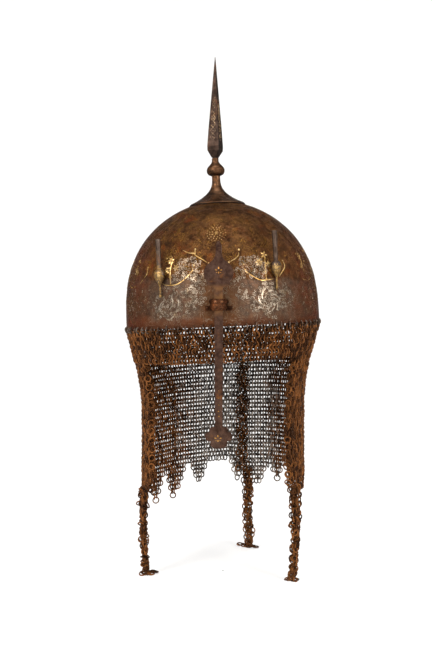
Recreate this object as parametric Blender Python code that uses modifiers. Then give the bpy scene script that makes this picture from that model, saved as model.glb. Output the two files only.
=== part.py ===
"""Kulah khud: a steel bowl with a spike, two plume holders, a sliding nasal and a mail aventail.

Metres, +Z up, with the face towards -Y. The origin is the centre of the bowl's rim, where a head
goes in. The mail, the nasal and the spike hang or stand plumb, and the bowl sits a little to one
side under them.
"""
import math

import bmesh
import bpy
from mathutils import Vector

# Common values
MM = 0.001
GAP = 0.3 * MM          # between pieces that touch
WELD = 0.02 * MM        # points closer than this are one point

# Bowl: its outline is a superellipse between the rim and the apex
BOWL_TILT = math.radians(2.7)
BOWL_RADIUS = 102.4 * MM
BOWL_HEIGHT = 132.0 * MM
BOWL_WALL = 1.6 * MM
BOWL_SHOULDER = 2.8
BOWL_CROWN = 1.75
BOWL_RINGS = 14
BOWL_STEPS = 48

# Spike base: a flared plate, a waist, a bead and a throat, turned in one piece
PLATE_RADIUS = 28.9 * MM
PLATE_EDGE = 1.6 * MM
FLARE_HEIGHT = 26.0 * MM
FLARE_CURVE = 2.45
WAIST_RADIUS = 4.4 * MM
WAIST_HEIGHT = 3.7 * MM
BEAD_RADIUS = 9.6 * MM
BEAD_LOW = 5.8 * MM            # from its foot up to its widest
BEAD_HIGH = 10.1 * MM          # from its widest up to the throat
BEAD_SLOPE = 1.15              # above 1 fills out its upper part
THROAT_RADIUS = 3.6 * MM
THROAT_HEIGHT = 3.0 * MM
BASE_STEPS = 32
BEAD_LOW_STEPS = 4
BEAD_HIGH_STEPS = 8
FLARE_STEPS = 8

# Spike: four-sided, with one edge turned to the side of the front
SPIKE_LENGTH = 106.8 * MM
SPIKE_HALF_DIAGONAL = 9.2 * MM
SPIKE_TURN = math.radians(23.6)
SPIKE_EDGE = 0.4 * MM
# Shares of the half diagonal and of the length, from the tip down
SPIKE_PROFILE = (
    {"across": 0.05, "up": 1.00},
    {"across": 0.86, "up": 0.27},
    {"across": 1.00, "up": 0.11},
    {"across": 0.97, "up": 0.07},
    {"across": 0.43, "up": 0.00},
)

# Plume holders: a tube on a pear-shaped boss with a tail and a knob
PLUME_AZIMUTH = math.radians(33.7)
PLUME_TOP = 89.5 * MM
PLUME_STAGGER = 1.4 * MM        # the right one sits higher by twice this
TUBE_LENGTH = 29.7 * MM
TUBE_TOP_RADIUS = 2.7 * MM
TUBE_FOOT_RADIUS = 2.1 * MM
TUBE_WALL = 0.65 * MM
BOSS_RADIUS = 5.5 * MM
BOSS_HEIGHT = 15.8 * MM
BOSS_WIDEST = 0.30              # share of the boss's height, from its top
BOSS_SEAT = 0.3 * MM            # how deep the bowl's curve is filed into the boss
TAIL_LENGTH = 11.8 * MM
TAIL_RADIUS = 1.0 * MM
KNOB_RADIUS = 1.6 * MM
PLUME_STEPS = 16
# Shares of the boss's radius and height, from its top down
BOSS_PROFILE = (
    {"across": 0.52, "down": 0.00},
    {"across": 0.86, "down": 0.10},
    {"across": 1.00, "down": BOSS_WIDEST},
    {"across": 0.93, "down": 0.50},
    {"across": 0.66, "down": 0.72},
    {"across": 0.36, "down": 0.90},
)

# Nasal: a straight bar between a palmette and a lobed finial, cut from plate
NASAL_THICKNESS = 2.2 * MM
NASAL_CLEARANCE = 5.6 * MM      # from the bowl's front to the nasal's back
BAR_TOP_HALF = 4.2 * MM
BAR_FOOT_HALF = 3.6 * MM
PALMETTE_RISE = 16.3 * MM       # from the bracket's centre to the palmette's foot
PALMETTE_HALF = 14.1 * MM
PALMETTE_HEIGHT = 45.0 * MM
FINIAL_DROP = 116.0 * MM        # from the bracket's centre to the finial's top
FINIAL_HALF = 12.9 * MM
FINIAL_HEIGHT = 21.2 * MM
NASAL_EDGE = 0.35 * MM
# Shares of the half width and of the height above the foot; a corner is a sharp notch or tip
PALMETTE_OUTLINE = (
    {"across": 0.00, "up": 1.000, "corner": True},
    {"across": 0.15, "up": 0.940, "corner": False},
    {"across": 0.20, "up": 0.800, "corner": False},
    {"across": 0.23, "up": 0.690, "corner": False},
    {"across": 0.38, "up": 0.590, "corner": False},
    {"across": 0.72, "up": 0.500, "corner": False},
    {"across": 0.95, "up": 0.400, "corner": False},
    {"across": 1.00, "up": 0.290, "corner": False},
    {"across": 0.90, "up": 0.190, "corner": False},
    {"across": 0.71, "up": 0.135, "corner": True},
    {"across": 0.78, "up": 0.085, "corner": False},
    {"across": 0.62, "up": 0.030, "corner": False},
)
FINIAL_OUTLINE = (
    {"across": 0.52, "up": 0.970, "corner": False},
    {"across": 0.70, "up": 0.860, "corner": False},
    {"across": 0.66, "up": 0.755, "corner": True},
    {"across": 0.92, "up": 0.700, "corner": False},
    {"across": 1.00, "up": 0.540, "corner": False},
    {"across": 0.90, "up": 0.380, "corner": False},
    {"across": 0.62, "up": 0.330, "corner": True},
    {"across": 0.62, "up": 0.170, "corner": False},
    {"across": 0.36, "up": 0.030, "corner": False},
    {"across": 0.00, "up": 0.000, "corner": False},
)

# Nasal bracket: a strap bent over the bar in two ridges, on a foot riveted to the bowl
BRACKET_CENTRE = 21.3 * MM      # above the rim
BRACKET_HEIGHT = 11.2 * MM
BRACKET_BACK_HALF = 8.4 * MM
BRACKET_FRONT_HALF = 5.4 * MM
BRACKET_FRONT_WALL = 1.6 * MM
BRACKET_DEPTH = 13.0 * MM       # back into the bowl, before its seat is cut
RIDGE_RADIUS = 2.3 * MM
RIDGE_SPACING = 5.6 * MM
SLOT_CLEARANCE = 0.3 * MM
FOOT_HALF_SPAN = 13.2 * MM
FOOT_HEIGHT = 4.6 * MM
FOOT_PROUD = 2.0 * MM
RIVET_RADIUS = 1.5 * MM
RIVET_INSET = 2.4 * MM          # from the foot's end to the rivet's centre

# Mail: a wall that hangs from the rim, open at the face below a brow band
MAIL_WALL = 2.4 * MM
MAIL_DEPTH = 185.0 * MM         # from the rim to the tips of the dags
BROW_DEPTH = 36.0 * MM
MAIL_DRAW = 15.1 * MM           # how far the mail draws in from the rim to the neck
MAIL_COLUMN = 6.0               # widest column of the grid, in degrees
BROW_ROWS = 4
CURTAIN_ROWS = 8
# Depth as a share of MAIL_DEPTH, and how much of MAIL_DRAW the mail has drawn in there
MAIL_DRAPE = (
    {"down": 0.000, "drawn_in": 0.00},
    {"down": 0.030, "drawn_in": 0.00},
    {"down": 0.070, "drawn_in": 0.14},
    {"down": 0.135, "drawn_in": 0.33},
    {"down": 0.205, "drawn_in": 0.62},
    {"down": 0.340, "drawn_in": 0.92},
    {"down": 0.450, "drawn_in": 1.02},
    {"down": 0.650, "drawn_in": 1.03},
    {"down": 1.100, "drawn_in": 0.97},
)
# Lower edge from the left of the face round the back to its right, in degrees from the front.
# Depths are shares of MAIL_DEPTH: a dag's tip is near 1, a notch near 0.85.
MAIL_EDGE = (
    {"azimuth": -58.0, "down": 0.92},
    {"azimuth": -82.0, "down": 0.92},
    {"azimuth": -88.0, "down": 0.85},
    {"azimuth": -97.0, "down": 1.00},
    {"azimuth": -106.0, "down": 0.86},
    {"azimuth": -115.0, "down": 1.06},
    {"azimuth": -126.0, "down": 0.87},
    {"azimuth": -137.0, "down": 1.06},
    {"azimuth": -150.0, "down": 0.85},
    {"azimuth": -160.0, "down": 1.00},
    {"azimuth": -167.0, "down": 0.85},
    {"azimuth": -180.0, "down": 0.85},
    {"azimuth": -183.0, "down": 0.82},
    {"azimuth": -191.0, "down": 1.00},
    {"azimuth": -194.0, "down": 0.92},
    {"azimuth": -202.0, "down": 0.92},
    {"azimuth": -206.0, "down": 1.02},
    {"azimuth": -216.0, "down": 0.88},
    {"azimuth": -224.5, "down": 0.98},
    {"azimuth": -234.0, "down": 0.85},
    {"azimuth": -244.0, "down": 0.98},
    {"azimuth": -254.0, "down": 0.85},
    {"azimuth": -264.0, "down": 0.98},
    {"azimuth": -278.0, "down": 0.85},
    {"azimuth": -287.0, "down": 0.92},
    {"azimuth": -307.0, "down": 0.92},
)
# Folds that run down the mail: how far each is pressed in, and where it starts
FOLD_REACH = 5.5 * MM
MAIL_FOLDS = (
    {"azimuth": -166.0, "half_width": 9.0, "press": -0.35, "start": 0.25},
    {"azimuth": -190.0, "half_width": 9.0, "press": 1.00, "start": 0.20},
    {"azimuth": -216.0, "half_width": 14.0, "press": -0.45, "start": 0.30},
    {"azimuth": -250.0, "half_width": 14.0, "press": 0.40, "start": 0.30},
    {"azimuth": -125.0, "half_width": 15.0, "press": 0.35, "start": 0.30},
)

# Long points: strips of mail that run down from the edge and end on the ground
GROUND_DEPTH = 264.0 * MM       # below the rim
POINT_FOOT = 9.0 * MM           # length that lies on the ground
POINT_ROWS = 14
POINT_CROWN = 1.2 * MM          # a strip's middle stands out from its edges
# Root and foot in degrees from the front; half widths and reach as shares of the neck's radius
LONG_POINTS = (
    {"side": "left", "root": -72.0, "foot": -77.0, "root_half": 0.140, "tip_half": 0.030, "reach": 0.93},
    {"side": "right", "root": -300.0, "foot": -295.5, "root_half": 0.120, "tip_half": 0.030, "reach": 0.92},
    {"side": "rear", "root": -198.0, "foot": -196.0, "root_half": 0.060, "tip_half": 0.035, "reach": 1.17},
)

# Colours, with roughness and metallic value
FINISHES = {
    "bowl_steel": ((0.105, 0.062, 0.036, 1.0), 0.45, 0.85),
    "spike_steel": ((0.070, 0.050, 0.040, 1.0), 0.40, 0.90),
    "nasal_steel": ((0.120, 0.070, 0.045, 1.0), 0.45, 0.85),
    "gilt_steel": ((0.330, 0.200, 0.070, 1.0), 0.35, 0.90),
    "mail_iron": ((0.140, 0.065, 0.028, 1.0), 0.55, 0.80),
}


def clear_scene():
    """Empty the scene of whatever it holds."""
    for obj in list(bpy.data.objects):
        bpy.data.objects.remove(obj, do_unlink=True)


def new_collection(name):
    collection = bpy.data.collections.new(name)
    bpy.context.scene.collection.children.link(collection)
    return collection


def finish(name):
    """The material of this name, made on first use."""
    material = bpy.data.materials.get(name)
    if material is None:
        colour, roughness, metallic = FINISHES[name]
        material = bpy.data.materials.new(name)
        material.use_nodes = True
        shader = material.node_tree.nodes["Principled BSDF"]
        shader.inputs["Base Color"].default_value = colour
        shader.inputs["Roughness"].default_value = roughness
        shader.inputs["Metallic"].default_value = metallic
        material.diffuse_color = colour
    return material


def add_object(name, data, collection, material=None, parent=None):
    obj = bpy.data.objects.new(name, data)
    collection.objects.link(obj)
    obj.parent = parent
    if material is not None:
        data.materials.append(finish(material))
    return obj


def mark_cutter(obj):
    """Keep a cutter out of the model, and drawn as wires."""
    obj.hide_render = True
    obj.display_type = "WIRE"
    return obj


def smooth(obj, angle_deg=35.0):
    obj.data.shade_smooth()
    obj.data.set_sharp_from_angle(angle=math.radians(angle_deg))


def weld(obj):
    modifier = obj.modifiers.new("weld", "WELD")
    modifier.merge_threshold = WELD


def bevel(obj, width):
    modifier = obj.modifiers.new("soft_edges", "BEVEL")
    modifier.width = width
    modifier.segments = 1
    modifier.limit_method = "ANGLE"
    modifier.angle_limit = math.radians(40.0)


def boolean(obj, operation, other):
    modifier = obj.modifiers.new(f"{operation.lower()}_{other.name}", "BOOLEAN")
    modifier.operation = operation
    modifier.object = other
    modifier.solver = "EXACT"


def turned(name, profile, steps, collection, material=None, parent=None):
    """Turn (radius, height) points about Z; they run down the outer side."""
    mesh = bpy.data.meshes.new(name)
    points = [(radius, 0.0, height) for radius, height in profile]
    mesh.from_pydata(points, [(i, i + 1) for i in range(len(points) - 1)], [])
    obj = add_object(name, mesh, collection, material, parent)
    screw = obj.modifiers.new("turn", "SCREW")
    screw.steps = steps
    screw.render_steps = steps
    screw.use_merge_vertices = True
    screw.merge_threshold = WELD
    screw.use_smooth_shade = True
    return obj


def block(name, size, centre, collection):
    """A plain box as a cutter or as stock."""
    mesh = bpy.data.meshes.new(name)
    stock = bmesh.new()
    bmesh.ops.create_cube(stock, size=1.0)
    bmesh.ops.scale(stock, vec=size, verts=stock.verts)
    bmesh.ops.translate(stock, vec=centre, verts=stock.verts)
    stock.to_mesh(mesh)
    stock.free()
    return add_object(name, mesh, collection)


def mesh_of_curve(obj, collection):
    """A mesh object of a curve, with its loose caps welded; the curve is removed."""
    name = obj.name
    parent = obj.parent
    placed = obj.matrix_world.copy()
    graph = bpy.context.evaluated_depsgraph_get()
    mesh = bpy.data.meshes.new_from_object(obj.evaluated_get(graph))
    bpy.data.objects.remove(obj, do_unlink=True)
    shell = bmesh.new()
    shell.from_mesh(mesh)
    bmesh.ops.remove_doubles(shell, verts=shell.verts, dist=WELD)
    shell.to_mesh(mesh)
    shell.free()
    made = add_object(name, mesh, collection)
    made.name = name
    made.parent = parent
    made.matrix_world = placed
    return made


def interpolate(table, key, value, at):
    """Value at a place in a table of rows that rise in key, joined by straight lines."""
    for low, high in zip(table, table[1:]):
        if at <= high[key]:
            share = (at - low[key]) / (high[key] - low[key])
            return low[value] + (high[value] - low[value]) * share
    return table[-1][value]


def bowl_outline(grow=0.0, rings=BOWL_RINGS):
    """(radius, height) points of the bowl's outside from the apex down to the rim."""
    points = []
    for ring in range(rings + 1):
        angle = math.pi / 2 * (1 - ring / rings)
        radius = BOWL_RADIUS * math.cos(angle) ** (2 / BOWL_CROWN) if ring else 0.0
        height = BOWL_HEIGHT * math.sin(angle) ** (2 / BOWL_SHOULDER)
        out = Vector((radius / BOWL_RADIUS ** 2, height / BOWL_HEIGHT ** 2)).normalized()
        points.append((radius + grow * out.x if ring else 0.0, height + grow * out.y))
    return points


def bowl_height_at(radius):
    """Height of the bowl's outside at a distance from its axis."""
    return BOWL_HEIGHT * (1 - (radius / BOWL_RADIUS) ** BOWL_CROWN) ** (1 / BOWL_SHOULDER)


def bowl_radius_at(height):
    """Radius of the bowl's outside at a height above the rim."""
    return BOWL_RADIUS * (1 - (height / BOWL_HEIGHT) ** BOWL_SHOULDER) ** (1 / BOWL_CROWN)


def make_tilt(collection):
    """The empty that carries the bowl and all that is fixed square to it."""
    tilt = bpy.data.objects.new("bowl_axis", None)
    collection.objects.link(tilt)
    tilt.rotation_euler = (0.0, -BOWL_TILT, 0.0)
    return tilt


def make_bowl(collection, tilt):
    bowl = turned("bowl", bowl_outline(), BOWL_STEPS, collection, "bowl_steel", tilt)
    wall = bowl.modifiers.new("wall", "SOLIDIFY")
    wall.thickness = BOWL_WALL
    wall.offset = -1.0
    wall.use_even_offset = True
    return bowl


def make_bowl_seat(cutters, tilt):
    """The bowl's outside grown by the gap: what sits on the bowl is cut back to it."""
    outline = bowl_outline(GAP)
    outline.append((0.0, 0.0))
    return mark_cutter(turned("bowl_seat", outline, BOWL_STEPS, cutters, None, tilt))


def base_outline(foot):
    """(radius, height) points of the spike's base from its top down to its underside."""
    plate = foot + PLATE_EDGE
    waist = plate + FLARE_HEIGHT
    bead = waist + WAIST_HEIGHT
    widest = bead + BEAD_LOW
    throat = widest + BEAD_HIGH
    top = throat + THROAT_HEIGHT
    points = [(0.0, top), (THROAT_RADIUS, top), (THROAT_RADIUS, throat)]
    for step in range(1, BEAD_HIGH_STEPS + 1):
        share = 1 - step / BEAD_HIGH_STEPS
        full = (1 + math.cos(math.pi * share ** BEAD_SLOPE)) / 2
        points.append((THROAT_RADIUS + (BEAD_RADIUS - THROAT_RADIUS) * full, widest + share * BEAD_HIGH))
    for step in range(1, BEAD_LOW_STEPS):
        lie = step / BEAD_LOW_STEPS
        radius = WAIST_RADIUS + (BEAD_RADIUS - WAIST_RADIUS) * math.sqrt(1 - lie ** 2)
        points.append((radius, widest - lie * BEAD_LOW))
    points.append((WAIST_RADIUS, bead))
    for step in range(FLARE_STEPS + 1):
        share = step / FLARE_STEPS
        radius = WAIST_RADIUS + (PLATE_RADIUS - WAIST_RADIUS) * share ** FLARE_CURVE
        points.append((radius, waist - share * FLARE_HEIGHT))
    points.append((PLATE_RADIUS, foot - BOWL_WALL))
    points.append((0.0, foot - BOWL_WALL))
    return points


def make_spike_base(collection, tilt, seat):
    foot = bowl_height_at(PLATE_RADIUS) + GAP
    base = turned("spike_base", base_outline(foot), BASE_STEPS, collection, "spike_steel", tilt)
    boolean(base, "DIFFERENCE", seat)
    return base_outline(foot)[0][1]


def make_spike(collection, tilt, base_top):
    """The blade, plumb on the top of its tilted base."""
    profile = [(0.0, SPIKE_LENGTH)]
    profile += [(SPIKE_HALF_DIAGONAL * row["across"], SPIKE_LENGTH * row["up"]) for row in SPIKE_PROFILE]
    profile.append((0.0, 0.0))
    spike = turned("spike", profile, 4, collection, "spike_steel")
    spike.modifiers["turn"].use_smooth_shade = False
    bevel(spike, SPIKE_EDGE)
    seat_rise = GAP + THROAT_RADIUS * math.sin(BOWL_TILT)
    spike.location = tilt.matrix_world @ Vector((0.0, 0.0, base_top)) + Vector((0.0, 0.0, seat_rise))
    spike.rotation_euler = (0.0, 0.0, SPIKE_TURN)
    return spike


def plume_outline():
    """(radius, height) points from the floor of the bore, up and over the lip, down to the knob."""
    floor = -TUBE_LENGTH
    points = [(0.0, floor), (TUBE_FOOT_RADIUS - TUBE_WALL, floor), (TUBE_TOP_RADIUS - TUBE_WALL, 0.0)]
    points.append((TUBE_TOP_RADIUS, 0.0))
    points.append((TUBE_FOOT_RADIUS, floor))
    for row in BOSS_PROFILE:
        points.append((BOSS_RADIUS * row["across"], floor - BOSS_HEIGHT * row["down"]))
    tail = floor - BOSS_HEIGHT
    knob = tail - TAIL_LENGTH + 2 * KNOB_RADIUS
    points += [(TAIL_RADIUS, tail), (TAIL_RADIUS, knob)]
    points += [(KNOB_RADIUS, knob - KNOB_RADIUS), (0.5 * KNOB_RADIUS, tail - TAIL_LENGTH)]
    points.append((0.0, tail - TAIL_LENGTH))
    return points


def make_plume_holder(side, sign, collection, tilt, seat):
    holder = turned(f"plume_holder_{side}", plume_outline(), PLUME_STEPS, collection, "gilt_steel", tilt)
    azimuth = sign * PLUME_AZIMUTH
    top = PLUME_TOP + sign * PLUME_STAGGER
    widest = top - TUBE_LENGTH - BOSS_WIDEST * BOSS_HEIGHT
    standoff = bowl_radius_at(widest) + GAP - BOSS_SEAT + BOSS_RADIUS
    holder.location = (standoff * math.sin(azimuth), -standoff * math.cos(azimuth), top)
    boolean(holder, "DIFFERENCE", seat)
    return holder


def nasal_outline():
    """Right-hand rows of the nasal from its tip to its foot, from the bracket's centre."""
    rows = []
    for row in PALMETTE_OUTLINE:
        up = PALMETTE_RISE + PALMETTE_HEIGHT * row["up"]
        rows.append((PALMETTE_HALF * row["across"], up, row["corner"]))
    rows.append((BAR_TOP_HALF, PALMETTE_RISE, True))
    rows.append((BAR_FOOT_HALF, -FINIAL_DROP, True))
    for row in FINIAL_OUTLINE:
        up = -FINIAL_DROP - FINIAL_HEIGHT * (1 - row["up"])
        rows.append((FINIAL_HALF * row["across"], up, row["corner"]))
    return rows


def make_nasal(collection, centre):
    """The nasal, with its origin on the line that it slides along."""
    right = nasal_outline()
    left = [(-across, up, corner) for across, up, corner in reversed(right) if across > 0.0]
    outline = right + left
    curve = bpy.data.curves.new("nasal", "CURVE")
    curve.dimensions = "2D"
    curve.fill_mode = "BOTH"
    curve.extrude = NASAL_THICKNESS / 2
    curve.resolution_u = 4
    spline = curve.splines.new("BEZIER")
    spline.use_cyclic_u = True
    spline.bezier_points.add(len(outline) - 1)
    for point, (across, up, corner) in zip(spline.bezier_points, outline):
        point.co = (across, up, 0.0)
        handle = "VECTOR" if corner else "AUTO"
        point.handle_left_type = handle
        point.handle_right_type = handle
    nasal = add_object("nasal", curve, collection, "nasal_steel")
    nasal.location = centre
    nasal.rotation_euler = (math.pi / 2, 0.0, 0.0)
    weld(nasal)
    bevel(nasal, NASAL_EDGE)
    return nasal


def strap_plan():
    """Plan of the strap from its back left corner round the front, from the nasal's middle."""
    front = -(NASAL_THICKNESS / 2 + SLOT_CLEARANCE + BRACKET_FRONT_WALL)
    back = front + BRACKET_DEPTH
    cheek = back - BRACKET_DEPTH / 2
    return [(-BRACKET_BACK_HALF, back), (-BRACKET_BACK_HALF, cheek), (-BRACKET_FRONT_HALF, front),
            (BRACKET_FRONT_HALF, front), (BRACKET_BACK_HALF, cheek), (BRACKET_BACK_HALF, back)]


def make_strap(collection, centre):
    """The strap's stock: its plan, as high as the bracket."""
    curve = bpy.data.curves.new("nasal_bracket", "CURVE")
    curve.dimensions = "2D"
    curve.fill_mode = "BOTH"
    curve.extrude = BRACKET_HEIGHT / 2
    spline = curve.splines.new("POLY")
    spline.use_cyclic_u = True
    plan = strap_plan()
    spline.points.add(len(plan) - 1)
    for point, (across, deep) in zip(spline.points, plan):
        point.co = (across, deep, 0.0, 1.0)
    strap = add_object("nasal_bracket", curve, collection)
    strap.location = centre
    bpy.context.view_layer.update()
    return mesh_of_curve(strap, collection)


def make_ridge(name, centre, rise, cutters):
    """A half-round ridge that follows the strap's plan."""
    curve = bpy.data.curves.new(name, "CURVE")
    curve.dimensions = "3D"
    curve.bevel_depth = RIDGE_RADIUS
    curve.bevel_resolution = 2
    curve.use_fill_caps = True
    spline = curve.splines.new("POLY")
    plan = strap_plan()
    spline.points.add(len(plan) - 1)
    inset = RIDGE_RADIUS / 2
    for point, (across, deep) in zip(spline.points, plan):
        point.co = (across - math.copysign(inset, across), deep + inset, 0.0, 1.0)
    ridge = add_object(name, curve, cutters)
    ridge.location = centre + Vector((0.0, 0.0, rise))
    bpy.context.view_layer.update()
    return mark_cutter(mesh_of_curve(ridge, cutters))


def make_rivet(name, sign, centre, front, cutters):
    """A domed rivet through the foot."""
    mesh = bpy.data.meshes.new(name)
    head = bmesh.new()
    bmesh.ops.create_uvsphere(head, u_segments=12, v_segments=6, radius=RIVET_RADIUS)
    head.to_mesh(mesh)
    head.free()
    rivet = add_object(name, mesh, cutters)
    across = sign * (FOOT_HALF_SPAN - RIVET_INSET)
    rivet.location = (centre.x + across, front, centre.z)
    return mark_cutter(rivet)


def make_bracket(collection, cutters, centre, seat):
    bracket = make_strap(collection, centre)
    bracket.data.materials.append(finish("nasal_steel"))
    for name, rise in (("ridge_high", RIDGE_SPACING / 2), ("ridge_low", -RIDGE_SPACING / 2)):
        boolean(bracket, "UNION", make_ridge(name, centre, rise, cutters))
    foot_middle = centre.z - BRACKET_HEIGHT / 2 + FOOT_HEIGHT / 2
    foot_front = -BOWL_RADIUS - FOOT_PROUD
    foot_back = foot_front + BRACKET_DEPTH / 2
    foot = block("bracket_foot", (2 * FOOT_HALF_SPAN, foot_back - foot_front, FOOT_HEIGHT),
                 (centre.x, (foot_back + foot_front) / 2, foot_middle), cutters)
    boolean(bracket, "UNION", mark_cutter(foot))
    for name, sign in (("rivet_left", -1), ("rivet_right", 1)):
        place = Vector((centre.x, centre.y, foot_middle))
        boolean(bracket, "UNION", make_rivet(name, sign, place, foot_front, cutters))
    slot = block("nasal_slot", (2 * (BAR_TOP_HALF + SLOT_CLEARANCE), NASAL_THICKNESS + 2 * SLOT_CLEARANCE,
                                2 * BRACKET_HEIGHT), centre, cutters)
    boolean(bracket, "DIFFERENCE", mark_cutter(slot))
    boolean(bracket, "DIFFERENCE", seat)
    return bracket


def hem_radius():
    """Radius of the middle of the bowl's wall at the rim, where the mail hangs."""
    return BOWL_RADIUS - BOWL_WALL / 2


def rim_drop(azimuth):
    """Height of the tilted rim at an azimuth from the front, in degrees."""
    return hem_radius() * math.sin(math.radians(azimuth)) * math.sin(BOWL_TILT)


def fold_press(azimuth, down):
    """How far the folds press the mail in at a place."""
    press = 0.0
    for fold in MAIL_FOLDS:
        off = (azimuth - fold["azimuth"]) / fold["half_width"]
        if abs(off) < 1.0 and down > fold["start"]:
            grown = min(1.0, (down - fold["start"]) / fold["start"])
            press += fold["press"] * grown * (1 + math.cos(math.pi * off)) / 2
    return press * FOLD_REACH


def mail_place(azimuth, depth):
    """Middle of the mail's wall at an azimuth in degrees and a depth below the rim."""
    down = depth / MAIL_DEPTH
    drawn_in = interpolate(MAIL_DRAPE, "down", "drawn_in", down)
    radius = hem_radius() - MAIL_DRAW * drawn_in - fold_press(azimuth, down)
    angle = math.radians(azimuth)
    return Vector((radius * math.sin(angle), -radius * math.cos(angle), rim_drop(azimuth) - GAP - depth))


def mail_columns():
    """Azimuths of the mail's columns once round, and how many of them belong to the curtain."""
    stations = [row["azimuth"] for row in MAIL_EDGE]
    stations.append(stations[0] - 360.0)
    columns = []
    curtain = 0
    for first, last in zip(stations, stations[1:]):
        parts = max(1, math.ceil((first - last) / MAIL_COLUMN))
        columns += [first + (last - first) * part / parts for part in range(parts)]
        if last == stations[-2]:
            curtain = len(columns)
    columns.append(stations[-1])
    return columns, curtain


def edge_depth(azimuth):
    """Depth of the curtain's lower edge at an azimuth."""
    rising = [{"azimuth": -row["azimuth"], "down": row["down"]} for row in MAIL_EDGE]
    return MAIL_DEPTH * interpolate(rising, "azimuth", "down", -azimuth)


def make_mail(collection):
    """A grid wrapped round the neck, cut away below the brow, with a wall's thickness."""
    columns, curtain = mail_columns()
    rows = BROW_ROWS + CURTAIN_ROWS
    mesh = bpy.data.meshes.new("mail")
    sheet = bmesh.new()
    bmesh.ops.create_grid(sheet, x_segments=len(columns) - 1, y_segments=rows, size=0.5)
    below_brow = []
    for face in sheet.faces:
        middle = face.calc_center_median()
        column = (middle.x + 0.5) * (len(columns) - 1)
        row = (0.5 - middle.y) * rows
        if column > curtain and row > BROW_ROWS:
            below_brow.append(face)
    for vert in sheet.verts:
        column = round((vert.co.x + 0.5) * (len(columns) - 1))
        row = round((0.5 - vert.co.y) * rows)
        azimuth = columns[column]
        depth = BROW_DEPTH * min(row, BROW_ROWS) / BROW_ROWS
        if row > BROW_ROWS and column <= curtain:
            depth += (edge_depth(azimuth) - BROW_DEPTH) * (row - BROW_ROWS) / CURTAIN_ROWS
        elif row > BROW_ROWS:
            depth += (MAIL_DEPTH - BROW_DEPTH) * (row - BROW_ROWS) / CURTAIN_ROWS
        vert.co = mail_place(azimuth, depth)
    bmesh.ops.delete(sheet, geom=below_brow, context="FACES")
    bmesh.ops.remove_doubles(sheet, verts=sheet.verts, dist=WELD)
    bmesh.ops.recalc_face_normals(sheet, faces=sheet.faces)
    sheet.to_mesh(mesh)
    sheet.free()
    mail = add_object("mail", mesh, collection, "mail_iron")
    thicken(mail)
    smooth(mail)
    return mail


def thicken(obj):
    wall = obj.modifiers.new("wall", "SOLIDIFY")
    wall.thickness = MAIL_WALL
    wall.offset = 0.0
    wall.use_even_offset = True


def point_place(point, along, across):
    """Place on a long point: along runs from its root to its tip, across from edge to edge."""
    hung_from = point["root"] + math.degrees(across * point["root_half"])
    top = mail_place(hung_from, edge_depth(hung_from)).z - GAP
    ground = MAIL_WALL / 2 - GROUND_DEPTH
    fall = top - ground + POINT_FOOT
    height = max(top - fall * along, ground)
    lying = max(0.0, fall * along - (top - ground))
    neck = hem_radius() - MAIL_DRAW
    reach = neck * (1 + (point["reach"] - 1) * along ** 2)
    half = neck * (point["root_half"] + (point["tip_half"] - point["root_half"]) * along ** 0.6)
    crown = 0.0 if lying else POINT_CROWN * (1 - across ** 2) * math.sin(math.pi * along)
    angle = math.radians(point["root"] + (point["foot"] - point["root"]) * along)
    outward = Vector((math.sin(angle), -math.cos(angle), 0.0))
    side = Vector((math.cos(angle), math.sin(angle), 0.0))
    spot = outward * (reach + crown + lying) + side * (across * half)
    return Vector((spot.x, spot.y, height))


def make_long_point(point, collection):
    name = f"mail_point_{point['side']}"
    mesh = bpy.data.meshes.new(name)
    strip = bmesh.new()
    bmesh.ops.create_grid(strip, x_segments=2, y_segments=POINT_ROWS, size=1.0)
    for vert in strip.verts:
        vert.co = point_place(point, (1 - vert.co.y) / 2, vert.co.x)
    bmesh.ops.recalc_face_normals(strip, faces=strip.faces)
    strip.to_mesh(mesh)
    strip.free()
    obj = add_object(name, mesh, collection, "mail_iron")
    thicken(obj)
    smooth(obj)
    return obj


def build():
    clear_scene()
    parts = new_collection("kulah_khud")
    cutters = new_collection("cutters")
    tilt = make_tilt(parts)
    bpy.context.view_layer.update()
    seat = make_bowl_seat(cutters, tilt)
    make_bowl(parts, tilt)
    base_top = make_spike_base(parts, tilt, seat)
    make_spike(parts, tilt, base_top)
    make_plume_holder("left", -1, parts, tilt, seat)
    make_plume_holder("right", 1, parts, tilt, seat)
    nasal_middle = Vector((tilt.matrix_world @ Vector((0.0, 0.0, BRACKET_CENTRE))).to_tuple())
    nasal_middle.y = -(BOWL_RADIUS + NASAL_CLEARANCE + NASAL_THICKNESS / 2)
    make_nasal(parts, nasal_middle)
    make_bracket(parts, cutters, nasal_middle, seat)
    make_mail(parts)
    for point in LONG_POINTS:
        make_long_point(point, parts)


build()
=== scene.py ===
"""Looks of a kulah khud: russet steel bowl with gold and silver inlay, and a mail aventail of linked rings.

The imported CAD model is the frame: metres, +Z up, the face towards -Y, and the origin at the centre of the
bowl's rim. The bowl, the mail and its long points are made again here in detail, in the places that their
CAD nodes hold, and the other nodes keep their shapes and get their finishes here.
"""
import logging
import math
import random
from dataclasses import dataclass, field
from enum import Enum
from typing import Callable, Iterable, Sequence

import bpy
import numpy as np
from mathutils import Matrix, Vector


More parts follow.
